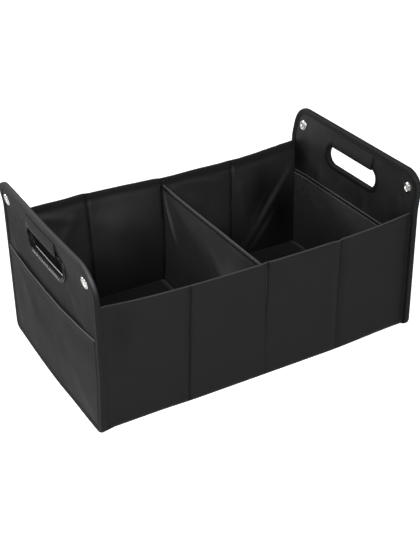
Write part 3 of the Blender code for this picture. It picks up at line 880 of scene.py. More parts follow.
# %% End covers and linings
LEFT_COVER_FOLDS = [
    ((-0.060, 0.190), (-0.120, 0.150), 0.010, 0.0010),
    ((0.070, 0.185), (0.125, 0.150), 0.012, 0.0010),
]
RIGHT_LINING_FOLDS = [
    ((0.074, 0.186), (0.070, 0.120), 0.0055, 0.0016),
    ((0.092, 0.210), (0.108, 0.140), 0.0070, 0.0012),
    ((-0.034, 0.178), (-0.050, 0.110), 0.0065, 0.0016),
    ((-0.020, 0.178), (-0.024, 0.130), 0.0050, -0.0008),
    ((-0.080, 0.190), (-0.100, 0.140), 0.0070, 0.0012),
    ((0.020, 0.178), (0.026, 0.145), 0.0060, 0.0010),
    ((-0.110, 0.205), (-0.128, 0.160), 0.0060, 0.0010),
]
LEFT_LINING_FOLDS = [
    ((-0.050, 0.178), (-0.060, 0.060), 0.010, 0.0014),
    ((0.060, 0.178), (0.085, 0.040), 0.012, 0.0014),
    ((0.110, 0.200), (0.125, 0.120), 0.008, 0.0012),
]
RIGHT_COVER_FOLDS = [
    ((-0.070, 0.185), (-0.100, 0.040), 0.012, 0.0012),
    ((0.060, 0.180), (0.070, 0.060), 0.012, 0.0012),
]
END_CLOTHS = [
    ("end_cover_left", -1, OUTER_CLOTH, "outer_cloth", LEFT_COVER_FOLDS, 21.0),
    ("end_lining_left", 1, LINING_CLOTH, "lining_cloth", LEFT_LINING_FOLDS, 23.0),
    ("end_lining_right", -1, LINING_CLOTH, "lining_cloth", RIGHT_LINING_FOLDS, 25.0),
    ("end_cover_right", 1, OUTER_CLOTH, "outer_cloth", RIGHT_COVER_FOLDS, 27.0),
]
END_STEP = 0.0045
# Painted shade: darker patches on the left end's cover and on the right end's lining, one of them the back
# wall's shadow near the lining's back corner.
END_PAINTED_SHADE = {
    "end_cover_left": [(0.095, 0.200, 0.070, 0.060, -0.13), (-0.030, 0.160, 0.100, 0.016, -0.09)],
    "end_lining_right": [
        (-0.100, 0.185, 0.050, 0.050, -0.08),
        (0.132, 0.166, 0.020, 0.036, -0.25),
        (0.100, 0.060, 0.080, 0.060, -0.10),
        (-0.030, 0.160, 0.050, 0.020, -0.10),
    ],
}


def end_painted_light(y, z, node, folds):
    """A painted highlight along the linings' folds, and painted shade on two of the end cloths."""
    crest_highlights = CREST_HIGHLIGHT_GAIN * ridges(y, z, folds) if "lining" in node else 0.0
    return painted_light_spots(y, z, END_PAINTED_SHADE.get(node, [])) + crest_highlights


for node, facing, material, slot_name, folds, seed in END_CLOTHS:
    bm = fine_face(node, Vector((facing, 0, 0)), END_STEP)
    flat_map(bm, lambda vert: (vert.co.y, vert.co.z))
    paint_light(bm, lambda vert: end_painted_light(vert.co.y, vert.co.z, node, folds))
    for vert in bm.verts:
        vert.co.x += facing * max(-0.0002, end_slack(vert.co.y, vert.co.z, seed, folds))
    faced(bm, Vector((facing, 0, 0)))
    piece = finish_piece(f"{node}_cloth", bm, material, [node], slot_name, 60.0, CLOTH)
    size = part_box(node)[1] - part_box(node)[0]

# %% [markdown]
# ## Edge tape
#
# A tape about 22 mm wide is folded over the panel's raw edges and sewn through. A bevelled curve could make
# it, but its section would turn at the corners. Here the section is swept round the panel with bmesh's spin:
# a spin with no angle and a step along one axis runs it straight, and a spin of a quarter turn takes it round
# a corner. The section has a groove where the stitches pull. The rim gets a painted highlight: thin on the
# left end, and along the whole top run on the right end.


# %% Sweep a section round a closed path
def sweep(bm, section, moves):
    """Carry a ring of vertices along moves of (centre, axis, angle, step, steps), then close the path."""
    verts = [bm.verts.new(point) for point in section]
    edges = [bm.edges.new((verts[i - 1], verts[i])) for i in range(len(verts))]
    geometry = verts + edges
    for centre, axis, angle, step, steps in moves:
        turned_once = bmesh.ops.spin(
            bm, geom=geometry, cent=centre, axis=axis, dvec=step, angle=angle, steps=steps
        )
        geometry = turned_once["geom_last"]
    bmesh.ops.remove_doubles(bm, verts=bm.verts, dist=1e-6)
    bmesh.ops.recalc_face_normals(bm, faces=bm.faces)
    if bm.calc_volume(signed=True) < 0:
        bmesh.ops.reverse_faces(bm, faces=bm.faces)


X_AXIS = Vector((1, 0, 0))
NO_STEP = Vector((0, 0, 0))


def straight(run, steps):
    return (Vector((0, 0, 0)), X_AXIS, 0.0, run / steps, steps)


def corner(y, z, angle, steps):
    return (Vector((0, y, z)), X_AXIS, angle, NO_STEP, steps)


TAPE_HALF_SECTION = [
    (-0.0090, -0.0003),
    (-0.0091, -0.0007),
    (-0.0084, -0.0009),
    (-0.0074, -0.0008),
    (-0.0066, -0.0007),
    (-0.0058, -0.0009),
    (-0.0040, -0.0012),
    (-0.0020, -0.0012),
    (-0.0008, -0.0008),
    (-0.0003, 0.0002),
    (-0.0001, 0.0014),
]
TAPE_INSIDE = 0.0010
CORNER_STEPS = 14
RUN_STEP = 0.004

low_y = HALF_WIDTH - BOTTOM_RADIUS
high_y = HALF_WIDTH - TOP_RADIUS
high_z = PANEL_HEIGHT - TOP_RADIUS
side_run = high_z - BOTTOM_RADIUS
quarter = math.pi / 2
panel_path = [
    straight(Vector((0, low_y, 0)), round(low_y / RUN_STEP)),
    corner(low_y, BOTTOM_RADIUS, quarter, CORNER_STEPS // 2),
    straight(Vector((0, 0, side_run)), round(side_run / RUN_STEP)),
    corner(high_y, high_z, quarter, CORNER_STEPS),
    straight(Vector((0, -2 * high_y, 0)), round(2 * high_y / RUN_STEP)),
    corner(-high_y, high_z, quarter, CORNER_STEPS),
    straight(Vector((0, 0, -side_run)), round(side_run / RUN_STEP)),
    corner(-low_y, BOTTOM_RADIUS, quarter, CORNER_STEPS // 2),
    straight(Vector((0, low_y, 0)), round(low_y / RUN_STEP)),
]


def panel_x(side, depth):
    return side * (OUTER_X - depth)


def rim_highlight(point, side):
    """Painted highlight: a thin bright rim on the left end, and all along the top run of the right end's
    tape.
    """
    if side > 0:
        return 0.28 * ease(point.z, 0.232, 0.240)
    at_rim = math.exp(-((max(0.0, edge_distance(point.y, point.z)) / 0.0010) ** 2))
    off_crown = (OUTER_X - abs(point.x) - PANEL_DEPTH / 2) / PANEL_DEPTH
    at_rim *= 0.30 + 0.70 * math.exp(-((off_crown / 0.22) ** 2))
    return 3.8 * at_rim * ease(point.z, 0.205, 0.246)


def tape_ripple(vert, side):
    """The sewn tape is drawn in a little at each stitch."""
    y, z = vert.co.y, vert.co.z
    face = 1 if (vert.co.x * side) > (OUTER_X - PANEL_DEPTH / 2) else -1
    inset = edge_distance(y, z)
    along = math.atan2(z - PANEL_HEIGHT / 2, y) * 0.16
    wave = 0.00014 * pucker(along, 0.0, side * 2.0 + face, 0.0075) * ease(inset, 0.001, 0.004)
    vert.co.x += side * face * wave


for end_name, side in (("left", -1), ("right", 1)):
    outline = TAPE_HALF_SECTION + [(0.0, PANEL_DEPTH / 2)]
    outline += [(o, PANEL_DEPTH - d) for o, d in reversed(TAPE_HALF_SECTION)]
    outline += [(-TAPE_INSIDE, PANEL_DEPTH - 0.0006), (-TAPE_INSIDE, 0.0006)]
    section = [Vector((panel_x(side, depth), 0.0, -outset)) for outset, depth in outline]
    bm = bmesh.new()
    sweep(bm, section, panel_path)
    for vert in bm.verts:
        tape_ripple(vert, side)
    paint_light(bm, lambda vert: rim_highlight(vert.co, side))
    flat_map(bm, lambda vert: (edge_distance(vert.co.y, vert.co.z) + vert.co.x, vert.co.y + vert.co.z))
    tape_node = f"edge_tape_{end_name}"
    tape = finish_piece(f"{tape_node}_folded", bm, TAPE_CLOTH, [tape_node], "edge_tape", 50.0)

# %% [markdown]
# ## Slot rings
#
# Each ring is moulded in two halves that snap together through the panel. The outer half has a bead
# round the opening, a shallow channel and a rounded lip, and the double bright line in the photograph is
# the light on the bead and on the lip. The inner half is a flat flange with a small rib that steps into
# the slot, which is the bright line along the slot's far edge. A curve with a plain bevel would only
# give one round bead, so both halves make one section, which goes round the slot in two half turns and
# two straight runs. The rib and the outer face are polished.

# %% Rings
SLOT_RADIUS = SLOT_RISE - 0.0065
slot_straight = SLOT_HALF - SLOT_RISE
RING_OUTER_SECTION = [
    (0.0065, -0.0003),
    (0.0064, -0.0012),
    (0.0060, -0.0016),
    (0.0053, -0.0016),
    (0.0049, -0.0014),
    (0.0047, -0.0010),
    (0.0043, -0.0007),
    (0.0036, -0.0006),
    (0.0029, -0.0007),
    (0.0024, -0.0012),
    (0.0019, -0.0018),
    (0.0014, -0.0020),
    (0.0008, -0.00195),
    (0.0004, -0.0018),
    (0.0002, -0.0015),
    (0.0, -0.0010),
    (0.0, -0.0002),
    (0.0, 0.0012),
]
RING_INNER_SECTION = [
    (0.0065, -0.0003),
    (0.0064, -0.0007),
    (0.0058, -0.0009),
    (0.0030, -0.0010),
    (0.0012, -0.0009),
    (0.0002, -0.0006),
    (-0.0006, -0.0002),
    (-0.0009, 0.0002),
    (-0.0008, 0.0006),
    (-0.0001, 0.0011),
    (0.0, 0.0013),
]
RING_WALL = 0.0015
RIB_DEPTHS = (PANEL_DEPTH - 0.0014, PANEL_DEPTH - 0.0005)
slot_path = [
    straight(Vector((0, slot_straight, 0)), 8),
    corner(slot_straight, SLOT_Z, math.pi, 22),
    straight(Vector((0, -2 * slot_straight, 0)), 16),
    corner(-slot_straight, SLOT_Z, math.pi, 22),
    straight(Vector((0, slot_straight, 0)), 8),
]
for end_name, side in (("left", -1), ("right", 1)):
    outline = RING_OUTER_SECTION + [(o, PANEL_DEPTH - d) for o, d in reversed(RING_INNER_SECTION)]
    outline += [(RING_WALL, PANEL_DEPTH - 0.0004), (RING_WALL, 0.0004)]
    section = [Vector((panel_x(side, d), 0.0, SLOT_Z - SLOT_RADIUS - o)) for o, d in outline]
    bm = bmesh.new()
    sweep(bm, section, slot_path)
    for face in bm.faces:
        depth = OUTER_X - abs(face.calc_center_median().x)
        polished = depth < -0.0001 or RIB_DEPTHS[0] < depth < RIB_DEPTHS[1]
        face.material_index = 0 if polished else 1
    ring_node = f"handle_ring_{end_name}"
    ring = finish_piece(f"{ring_node}_moulded", bm, RING_PLASTIC, [ring_node], "handle_ring_plastic", 70.0)
    ring.data.materials.append(RING_MATT)

# %% [markdown]
# ## Eyelets
#
# A nickel-plated eyelet with a domed flange is pushed through from outside, and its barrel is rolled
# back over a washer. A torus and a cylinder could stand for it, but the dome and the rolled edge are
# what catch the light. Both are turned shapes, so a section is spun a full turn round the hole's axis.

# %% Eyelets and washers
EYELET_SECTION = [
    (0.0085, -0.0003),
    (0.0083, -0.0008),
    (0.0074, -0.0014),
    (0.0062, -0.0017),
    (0.0052, -0.0015),
    (0.0044, -0.0009),
    (0.0040, 0.0002),
    (0.0040, 0.0054),
    (0.0042, 0.0064),
    (0.0049, 0.0070),
    (0.0057, 0.0069),
    (0.0062, 0.0064),
    (0.0054, 0.0064),
    (0.0046, 0.0062),
    (0.0045, -0.0003),
]
WASHER_SECTION = [
    (0.0078, 0.0055),
    (0.0077, 0.0059),
    (0.0070, 0.0062),
    (0.0048, 0.0061),
    (0.0048, 0.0055),
]
EYELET_STEPS = 36


def turned(name, section, side, centre, nodes):
    bm = bmesh.new()
    points = [Vector((panel_x(side, depth), centre.y, centre.z + radius)) for radius, depth in section]
    sweep(bm, points, [corner(centre.y, centre.z, 2 * math.pi, EYELET_STEPS)])
    return finish_piece(name, bm, NICKEL, nodes, "nickel", 50.0)


for end_name, side in (("left", -1), ("right", 1)):
    for wall_name, centre in zip(("front", "back"), EYELETS):
        place_name = f"{end_name}_{wall_name}"
        turned(f"eyelet_{place_name}_rolled", EYELET_SECTION, side, centre, [f"eyelet_{place_name}"])
        washer_node = f"eyelet_washer_{place_name}"
        turned(f"{washer_node}_pressed", WASHER_SECTION, side, centre, [washer_node])

# %% [markdown]
# ## Grip sleeves
#
# A strip of cloth round a thin foam core is hung over the bar and sewn to both faces. It could be
# inflated by a cloth simulation, but the foam is only a few millimetres thick and the seams would be
# lost. The strip is swept along the bar instead, and then filled out: fullest in the middle of its run,
# drawn in at its sewn ends.

# %% Sleeves
sleeve_low, sleeve_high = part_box("grip_sleeve_left")
SLEEVE_HALF = sleeve_high.y + 0.003
SLEEVE_TOP = sleeve_high.z
SLEEVE_BOTTOM = sleeve_low.z
FLANGE_TOP = ring_high.z
SLEEVE_HALF_SECTION = [
    (0.0005, SLEEVE_TOP),
    (0.0011, SLEEVE_TOP - 0.0004),
    (0.0013, SLEEVE_TOP - 0.0022),
    (0.0021, SLEEVE_TOP - 0.0052),
    (0.0032, SLEEVE_TOP - 0.0090),
    (0.0041, FLANGE_TOP),
    (0.0043, SLEEVE_TOP - 0.0170),
    (0.0038, SLEEVE_BOTTOM + 0.0022),
    (0.0024, SLEEVE_BOTTOM + 0.0005),
    (0.0002, SLEEVE_BOTTOM),
]
SLEEVE_HOLLOW = [
    (0.0004, SLEEVE_TOP),
    (0.0004, SLEEVE_TOP - 0.0105),
    (0.0021, FLANGE_TOP + 0.0002),
    (0.0021, SLEEVE_BOTTOM + 0.0020),
]
SLEEVE_STEPS = 44

for end_name, side in (("left", -1), ("right", 1)):
    outline = [(-stand, z) for stand, z in SLEEVE_HALF_SECTION]
    outline += [(PANEL_DEPTH + stand, z) for stand, z in reversed(SLEEVE_HALF_SECTION[:-1])]
    outline += [(PANEL_DEPTH + stand, z) for stand, z in SLEEVE_HOLLOW]
    outline += [(-stand, z) for stand, z in reversed(SLEEVE_HOLLOW)]
    bm = bmesh.new()
    verts = [bm.verts.new((panel_x(side, depth), -SLEEVE_HALF, z)) for depth, z in outline]
    first = bm.faces.new(verts)
    step = Vector((0, 2 * SLEEVE_HALF / SLEEVE_STEPS, 0))
    geometry = [first, *first.edges, *first.verts]
    bmesh.ops.spin(bm, geom=geometry, cent=(0, 0, 0), axis=X_AXIS, dvec=step, angle=0.0, steps=SLEEVE_STEPS)
    bmesh.ops.remove_doubles(bm, verts=bm.verts, dist=1e-6)
    middle = panel_x(side, PANEL_DEPTH / 2)
    hollow = PANEL_DEPTH / 2 + 0.0022
    for vert in bm.verts:
        reach = abs(vert.co.x - middle)
        if reach > hollow:
            run = abs(vert.co.y) / SLEEVE_HALF
            fullness = 1.0 - 0.42 * ease(run, 0.80, 1.0)
            fullness += 0.05 * roll(vert.co.y, vert.co.z, 31.0 + side, 0.020)
            thick = hollow + (reach - hollow) * min(1.0, fullness)
            vert.co.x = middle + math.copysign(thick, vert.co.x - middle)
    bmesh.ops.recalc_face_normals(bm, faces=bm.faces)
    # Painted light: the right sleeve's colour is made lighter, as it is lit on the inside of the end.
    paint_light(bm, lambda vert: 0.13 if side > 0 else 0.0)
    flat_map(bm, lambda vert: (vert.co.y, vert.co.z + vert.co.x))
    sleeve = finish_piece(
        f"grip_sleeve_{end_name}_padded", bm, GRIP_CLOTH, [f"grip_sleeve_{end_name}"], "grip_cloth", 50.0
    )

# %% [markdown]
# ## Divider
#
# The divider's cloth is folded up round its board like a sleeve, and nothing pulls it flat. It shows a
# long crease from its back corner, and broad dents. It is one grid that goes down the left face, round
# the board's lower edge and up the right face, as the cloth does. The tape over its top follows a
# shallow sag.

# %% Divider cloth
DIVIDER_Y = divider_high.y
DIVIDER_SAG = 0.0025
DIVIDER_HITCH = 0.0085
DIVIDER_TOP = divider_high.z
DIVIDER_HALF = divider_high.x
DIVIDER_BOTTOM = divider_low.z
DIVIDER_ROWS = 56
TURN_ROWS = 4
DIVIDER_COLUMNS = 168
DIVIDER_LEFT_FOLDS = [
    ((0.1340, 0.166), (0.100, 0.084), 0.0024, 0.0034),
    ((0.124, 0.140), (0.100, 0.070), 0.0050, 0.0008),
    ((0.124, 0.162), (0.045, 0.130), 0.0080, 0.0012),
    ((0.090, 0.155), (0.060, 0.090), 0.0110, 0.0010),
    ((0.060, 0.085), (-0.139, 0.085), 0.0340, 0.0020),
    ((0.010, 0.130), (-0.060, 0.085), 0.0070, 0.0022),
    ((0.132, 0.030), (0.060, 0.100), 0.0140, 0.0016),
    ((0.060, 0.020), (-0.040, 0.060), 0.0140, 0.0018),
]
DIVIDER_RIGHT_FOLDS = [
    ((-0.134, 0.158), (-0.060, 0.080), 0.0080, 0.0026),
    ((0.130, 0.150), (0.080, 0.060), 0.0090, 0.0020),
    ((0.040, 0.140), (-0.030, 0.040), 0.0140, 0.0020),
]
# Painted light on the upper front of the divider's left face, and painted shade near its back.
DIVIDER_PAINTED_LIGHT = [(0.27, 0.17, 0.12, 0.08, 0.30), (0.93, 0.30, 0.10, 0.14, -0.06)]


def divider_sag(y):
    """How far the divider's top is below its drawn height. It is hitched up at the back."""
    return DIVIDER_SAG * (1 - (y / DIVIDER_Y) ** 2) - DIVIDER_HITCH * (1 + y / DIVIDER_Y) / 2


def divider_place(u, v):
    y = DIVIDER_Y * (2 * u - 1)
    top = DIVIDER_TOP - divider_sag(y)
    row = v * (2 * DIVIDER_ROWS + TURN_ROWS)
    if DIVIDER_ROWS < row < DIVIDER_ROWS + TURN_ROWS:
        turn = math.pi * (row - DIVIDER_ROWS) / TURN_ROWS
        x = -DIVIDER_HALF * math.cos(turn)
        return Vector((x, y, DIVIDER_BOTTOM + 0.0006 * (1 - math.sin(turn))))
    face = -1 if row <= DIVIDER_ROWS else 1
    down = row / DIVIDER_ROWS if face < 0 else 1 - (row - DIVIDER_ROWS - TURN_ROWS) / DIVIDER_ROWS
    z = top + (DIVIDER_BOTTOM + 0.0006 - top) * down
    free = ease(z, 0.004, 0.018) * ease(top - z, 0.004, 0.014) * ease(DIVIDER_Y - abs(y), 0.0, 0.012)
    folds = DIVIDER_LEFT_FOLDS if face < 0 else DIVIDER_RIGHT_FOLDS
    stand = free * (0.0006 + ridges(y, z, folds) + 0.0008 * roll(y, z, 41.0 + face, 0.040))
    stand += 0.0003 * pucker(y, max(0.0, top - z - 0.006), 45.0 + face)
    return Vector((face * (DIVIDER_HALF + max(-0.0003, stand)), y, z))


def divider_painted_light(u, v):
    """A painted highlight along the long crease, painted light over the upper front and painted shade near
    the back.
    """
    y, z = DIVIDER_Y * (2 * u - 1), DIVIDER_TOP * (1 - 2 * v)
    crest_highlights = CREST_HIGHLIGHT_GAIN * ridge(y, z, DIVIDER_LEFT_FOLDS[0]) if v < 0.5 else 0.0
    return crest_highlights + painted_light_spots(u, v, DIVIDER_PAINTED_LIGHT)


divider_cut = (2 * DIVIDER_Y, 2 * (DIVIDER_TOP - DIVIDER_BOTTOM) + 2 * DIVIDER_HALF)
divider_cloth = grid_sheet(
    "divider_cloth",
    DIVIDER_COLUMNS,
    2 * DIVIDER_ROWS + TURN_ROWS,
    divider_place,
    Vector((-1, 0, 0)),
    DIVIDER_LINING_LIT,
    ["divider_cover"],
    "lining_cloth",
    divider_cut,
    light_and_shade=divider_painted_light,
)

# %% [markdown]
# The two straight tapes, on the divider and on the mesh pocket, are folded the same way. A box with rounded
# edges would be quicker, but it has no sewn groove and no ripple. So each is a sheet whose rows go up one
# leg, round the top and down the other. Its crest and its lower edge get painted highlights, which draw two
# thin bright lines.


# %% Straight tapes
LEG_ROWS = 5
TOP_ROWS = 6
TAPE_COLUMNS = 110
DIVIDER_TAPE_LEG = 0.0064
MESH_TAPE_LEG = 0.0066


def straight_tape(name, node, slot_name, sag, axis_x, half_thick, drop, seed, bright):
    """Tape folded over a straight edge that runs along Y."""
    low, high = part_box(node)
    top = high.z
    half_y = high.y
    rows = 2 * LEG_ROWS + TOP_ROWS

    def place(u, v):
        y = half_y * (2 * u - 1)
        crest = top - sag(y)
        row = v * rows
        wave = 0.00016 * pucker(y, 0.0, seed, 0.0075)
        if row <= LEG_ROWS:
            down = drop * (1 - row / LEG_ROWS)
            groove = 0.0003 * math.exp(-(((down - drop + 0.0018) / 0.0009) ** 2))
            return Vector((axis_x - half_thick + groove - wave, y, crest - half_thick - down))
        if row < LEG_ROWS + TOP_ROWS:
            turn = math.pi * (row - LEG_ROWS) / TOP_ROWS
            across, up = half_thick * math.cos(turn), half_thick * math.sin(turn)
            return Vector((axis_x - across, y, crest - half_thick + up))
        down = drop * (row - LEG_ROWS - TOP_ROWS) / LEG_ROWS
        groove = 0.0003 * math.exp(-(((down - drop + 0.0018) / 0.0009) ** 2))
        return Vector((axis_x + half_thick - groove + wave, y, crest - half_thick - down))

    flat = (2 * half_y, 2 * drop + math.pi * half_thick)
    outwards = Vector((-1, 0, 0))

    # Painted highlights along the tape's crest and its lower edge.
    def tape_edge_highlights(u, v):
        at_crest = math.exp(-(((v * rows - LEG_ROWS - 3.4) / 1.0) ** 2))
        at_edge = math.exp(-((v * rows / 1.0) ** 2))
        return bright[0] * at_crest + bright[1] * at_edge

    tape = grid_sheet(
        name, TAPE_COLUMNS, rows, place, outwards, TAPE_CLOTH, [node], slot_name, flat, tape_edge_highlights, (), 0.0007
    )


tape_half = (divider_tape_high.x - divider_tape_low.x) / 2
straight_tape(
    "divider_top_tape",
    "divider_tape",
    "edge_tape",
    sag=divider_sag,
    axis_x=0.0,
    half_thick=tape_half,
    drop=DIVIDER_TAPE_LEG - tape_half,
    seed=51.0,
    bright=(4.8, 4.4),
)

# %% [markdown]
# ## Mesh pocket
#
# The pocket on the right end is a knitted net with small holes, wider than they are high. A see-through
# pattern on a plain sheet would have no thickness, so the yarn is made: a fine grid whose cells are
# inset one by one, so that each keeps a rim, and then opened. The grid is squashed while it is inset,
# which makes the rows of yarn thicker than the columns. The net hangs a little slack.

# %% Mesh pocket
NET_COLUMNS = 82
NET_ROWS = 40
NET_YARN_WIDTH = 0.0009
ROW_SQUASH = 0.5
net_half = mesh_high.y
net_x = (mesh_low.x + mesh_high.x) / 2
NET_FOLDS = [
    ((0.120, 0.130), (0.040, 0.060), 0.0100, 0.0016),
    ((-0.110, 0.130), (-0.030, 0.050), 0.0120, 0.0014),
    ((0.080, 0.020), (-0.010, 0.070), 0.0100, 0.0012),
]


def net_slack(y, z):
    """How far the net stands off the lining, which is nothing along its sewn edges."""
    free = ease(net_half - abs(y), 0.0, 0.030) * ease(z, mesh_low.z, 0.030)
    free *= ease(mesh_high.z - z, 0.0, 0.030)
    waves = 0.0010 + 0.0012 * roll(y, z, 61.0, 0.045) + ridges(y, z, NET_FOLDS)
    return free * max(0.0, waves)


bm = bmesh.new()
bmesh.ops.create_grid(bm, x_segments=NET_COLUMNS, y_segments=NET_ROWS, size=0.5)
for vert in bm.verts:
    y = 2 * net_half * vert.co.x
    z = mesh_low.z + (mesh_high.z - mesh_low.z) * (vert.co.y + 0.5)
    vert.co = Vector((net_x, y, z * ROW_SQUASH))
bm.normal_update()
cells = bm.faces[:]
bmesh.ops.inset_individual(bm, faces=cells, thickness=NET_YARN_WIDTH / 2, use_even_offset=True)
bmesh.ops.delete(bm, geom=cells, context="FACES_ONLY")
for vert in bm.verts:
    vert.co.z /= ROW_SQUASH
    vert.co.x -= net_slack(vert.co.y, vert.co.z)
flat_map(bm, lambda vert: (vert.co.y, vert.co.z))
# Painted shade: the net is darker low at the back, where the back wall shades it, and lighter high at the
# front.
paint_light(bm, lambda vert: 0.12 * ease(vert.co.z - 0.7 * vert.co.y, -0.04, 0.16) - 0.10)
faced(bm, Vector((-1, 0, 0)))
net = finish_piece("mesh_pocket_net", bm, NET_YARN, ["mesh_pocket"], "pocket_mesh", 60.0, 0.0004)

mesh_tape_x = (mesh_tape_low.x + mesh_tape_high.x) / 2
mesh_tape_half = (mesh_tape_high.x - mesh_tape_low.x) / 2
straight_tape(
    "mesh_pocket_top_tape",
    "mesh_pocket_tape",
    "edge_tape",
    sag=lambda y: 0.0014,
    axis_x=mesh_tape_x,
    half_thick=mesh_tape_half,
    drop=MESH_TAPE_LEG - mesh_tape_half,
    seed=55.0,
    bright=(8.0, 9.5),
)

# %% [markdown]
# ## Outer pocket
#
# A slack pocket covers the lower part of the left end. It is sewn down along three sides, its mouth is
# turned in as a hem, and the free middle of the mouth droops and stands away from the panel. A cloth
# simulation could hang it, but it would not know where the photograph's folds are. One grid is pushed
# outwards instead: most in the middle of the mouth, and hardly at all along the seams.

# %% Outer pocket
pocket_low, pocket_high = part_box("outer_pocket")
POCKET_TOP = 0.144
POCKET_SAG = 0.004
POCKET_SLACK = 0.0028
POCKET_HEM = 0.012
POCKET_COLUMNS = 74
POCKET_ROWS = 40
# Painted light low at the front of the pocket, and painted shade over its middle.
POCKET_PAINTED_LIGHT = [(0.05, 0.10, 0.24, 0.50, 0.26), (0.62, 0.45, 0.34, 0.60, -0.11)]
POCKET_FOLDS = [
    ((0.120, 0.130), (0.020, 0.060), 0.014, 0.0010),
    ((-0.120, 0.130), (-0.040, 0.040), 0.016, 0.0010),
    ((-0.135, 0.020), (-0.060, 0.070), 0.012, 0.0008),
    ((0.130, 0.020), (0.060, 0.070), 0.012, 0.0008),
]


def pocket_place(u, v):
    """A point of the pocket: its mouth sags and stands away in the middle, its hem is a double layer."""
    across = 2 * u - 1
    y = pocket_high.y * across
    top = POCKET_TOP - POCKET_SAG * (1 - across**2)
    z = pocket_low.z + (top - pocket_low.z) * v
    stand = 0.0003 + POCKET_SLACK * (1 - across**4) * (1 - (1 - v) ** 3)
    free = ease(1 - abs(across), 0.0, 0.12) * ease(v, 0.0, 0.10)
    stand += free * (ridges(y, z, POCKET_FOLDS) + 0.0007 * roll(y, z, 71.0, 0.040))
    stand += 0.0003 * pucker(z, HALF_WIDTH - TAPE_WIDTH - abs(y), 72.0)
    stand += 0.0003 * pucker(y, z - pocket_low.z, 73.0)
    from_seam = top - z - POCKET_HEM
    stand += 0.0005 * ease(-from_seam, 0.0, 0.001) - 0.0003 * math.exp(-((from_seam / 0.0012) ** 2))
    stand += 0.0003 * pucker(y, abs(from_seam), 74.0, 0.010, 0.004)
    return Vector((-OUTER_X - max(0.0002, stand) - 0.0002, y, z))


def pocket_painted_light(u, v):
    """A painted highlight along the mouth's edge, and painted light and shade in two patches."""
    return 2.5 * ease(v, 0.970, 1.0) + painted_light_spots(u, v, POCKET_PAINTED_LIGHT)


pocket_cut = (2 * pocket_high.y, POCKET_TOP - pocket_low.z + POCKET_HEM)
pocket = grid_sheet(
    "outer_pocket_cloth",
    POCKET_COLUMNS,
    POCKET_ROWS,
    pocket_place,
    Vector((-1, 0, 0)),
    OUTER_CLOTH,
    ["outer_pocket"],
    "outer_cloth",
    pocket_cut,
    light_and_shade=pocket_painted_light,
)

# %% [markdown]
# ## Floor, base and boards
#
# The floor boards lie loose in cloth envelopes, and the base is one cloth under them, sewn into the
# tapes at both ends. The boards inside the walls and ends are hidden, and they only need clean edges.
# The CAD nodes already have the right outlines, so nothing is gained by building these anew: each is a copy
# of its node with broken edges. The envelopes get the slight give of cloth over a board, and their right
# edges get a painted highlight, strongest at the back.


# %% Copies of nodes
def fine_copy(node, step, bevel):
    """A merged copy of a node with its edges rounded off, cut into cells about step wide on its flat side."""
    bm = bmesh.new()
    bm.from_mesh(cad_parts[node].data)
    bmesh.ops.remove_doubles(bm, verts=bm.verts, dist=1e-5)
    bmesh.ops.dissolve_limit(bm, angle_limit=math.radians(1), verts=bm.verts, edges=bm.edges)
    edges = [e for e in bm.edges if len(e.link_faces) == 2 and e.calc_face_angle() > math.radians(60)]
    bmesh.ops.bevel(bm, geom=edges, offset=bevel, segments=2, profile=0.5, affect="EDGES", material=-1)
    slice_up(bm, *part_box(node), step)
    return bm


def envelope_edge_highlight(point, edge_x):
    """Painted highlight along the edge at edge_x, strongest at the back."""
    return 1.5 * math.exp(-(((edge_x - point.x) / 0.0016) ** 2)) * ease(point.y, 0.02, 0.13)


# %% Floor envelopes
for end_name in ("left", "right"):
    node = f"floor_cover_{end_name}"
    low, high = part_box(node)
    bm = fine_copy(node, 0.009, 0.0009)
    for vert in bm.verts:
        if vert.co.z > high.z - 0.0002:
            inside = min(vert.co.x - low.x, high.x - vert.co.x, vert.co.y - low.y, high.y - vert.co.y)
            lift = 0.0006 * roll(vert.co.x, vert.co.y, 81.0, 0.040) + 0.0005
            vert.co.z += max(0.0, lift) * ease(inside, 0.002, 0.020)
    paint_light(bm, lambda vert: envelope_edge_highlight(vert.co, high.x))
    flat_map(bm, lambda vert: (vert.co.x, vert.co.y + vert.co.z))
    envelope = finish_piece(f"{node}_envelope", bm, FLOOR_CLOTH, [node], "lining_cloth", 40.0)
    cut = (high.x - low.x, 2 * (high.y - low.y))

# %% Base cloth and boards
SEWN_IN = 0.0006
bm = fine_copy("base_cloth", 0.012, 0.0003)
for vert in bm.verts:
    lift = wall_bottom(-1, vert.co.x) - WALL_BOTTOM
    vert.co.z += lift * ease(-vert.co.y, INSIDE_Y, WALL_FACE - 0.001)
    if abs(vert.co.x) > WALL_END - 0.0006:
        vert.co.x += math.copysign(SEWN_IN, vert.co.x)
flat_map(bm, lambda vert: (vert.co.x, vert.co.y + vert.co.z))
base = finish_piece("base_cloth_sewn", bm, OUTER_CLOTH, ["base_cloth"], "outer_cloth", 40.0)

board_nodes = sorted(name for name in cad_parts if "_board" in name)
for node in board_nodes:
    bm = fine_copy(node, 0.012, 0.0004)
    if node.startswith("front_wall"):
        for vert in bm.verts:
            vert.co.z = max(vert.co.z, wall_bottom(-1, vert.co.x) + 0.0012)
    finish_piece(f"{node}_cut", bm, BOARD, [node], "stiffener_board", 40.0)

# %% [markdown]
# ## Stitches
#
# Rows of lockstitch hold the tapes, hems and pocket down. They could be bumps in the cloth's finish,
# but real stitches catch the light and are still there when the model is exported. One stitch is a
# low icosphere stretched to a grain, a little of it sunk into the cloth. Each row is one mesh of such
# grains along a path.

# %% Stitch rows
STITCH_PITCH = 0.0034
STITCH_LENGTH = 0.0013
STITCH_THICK = 0.00028


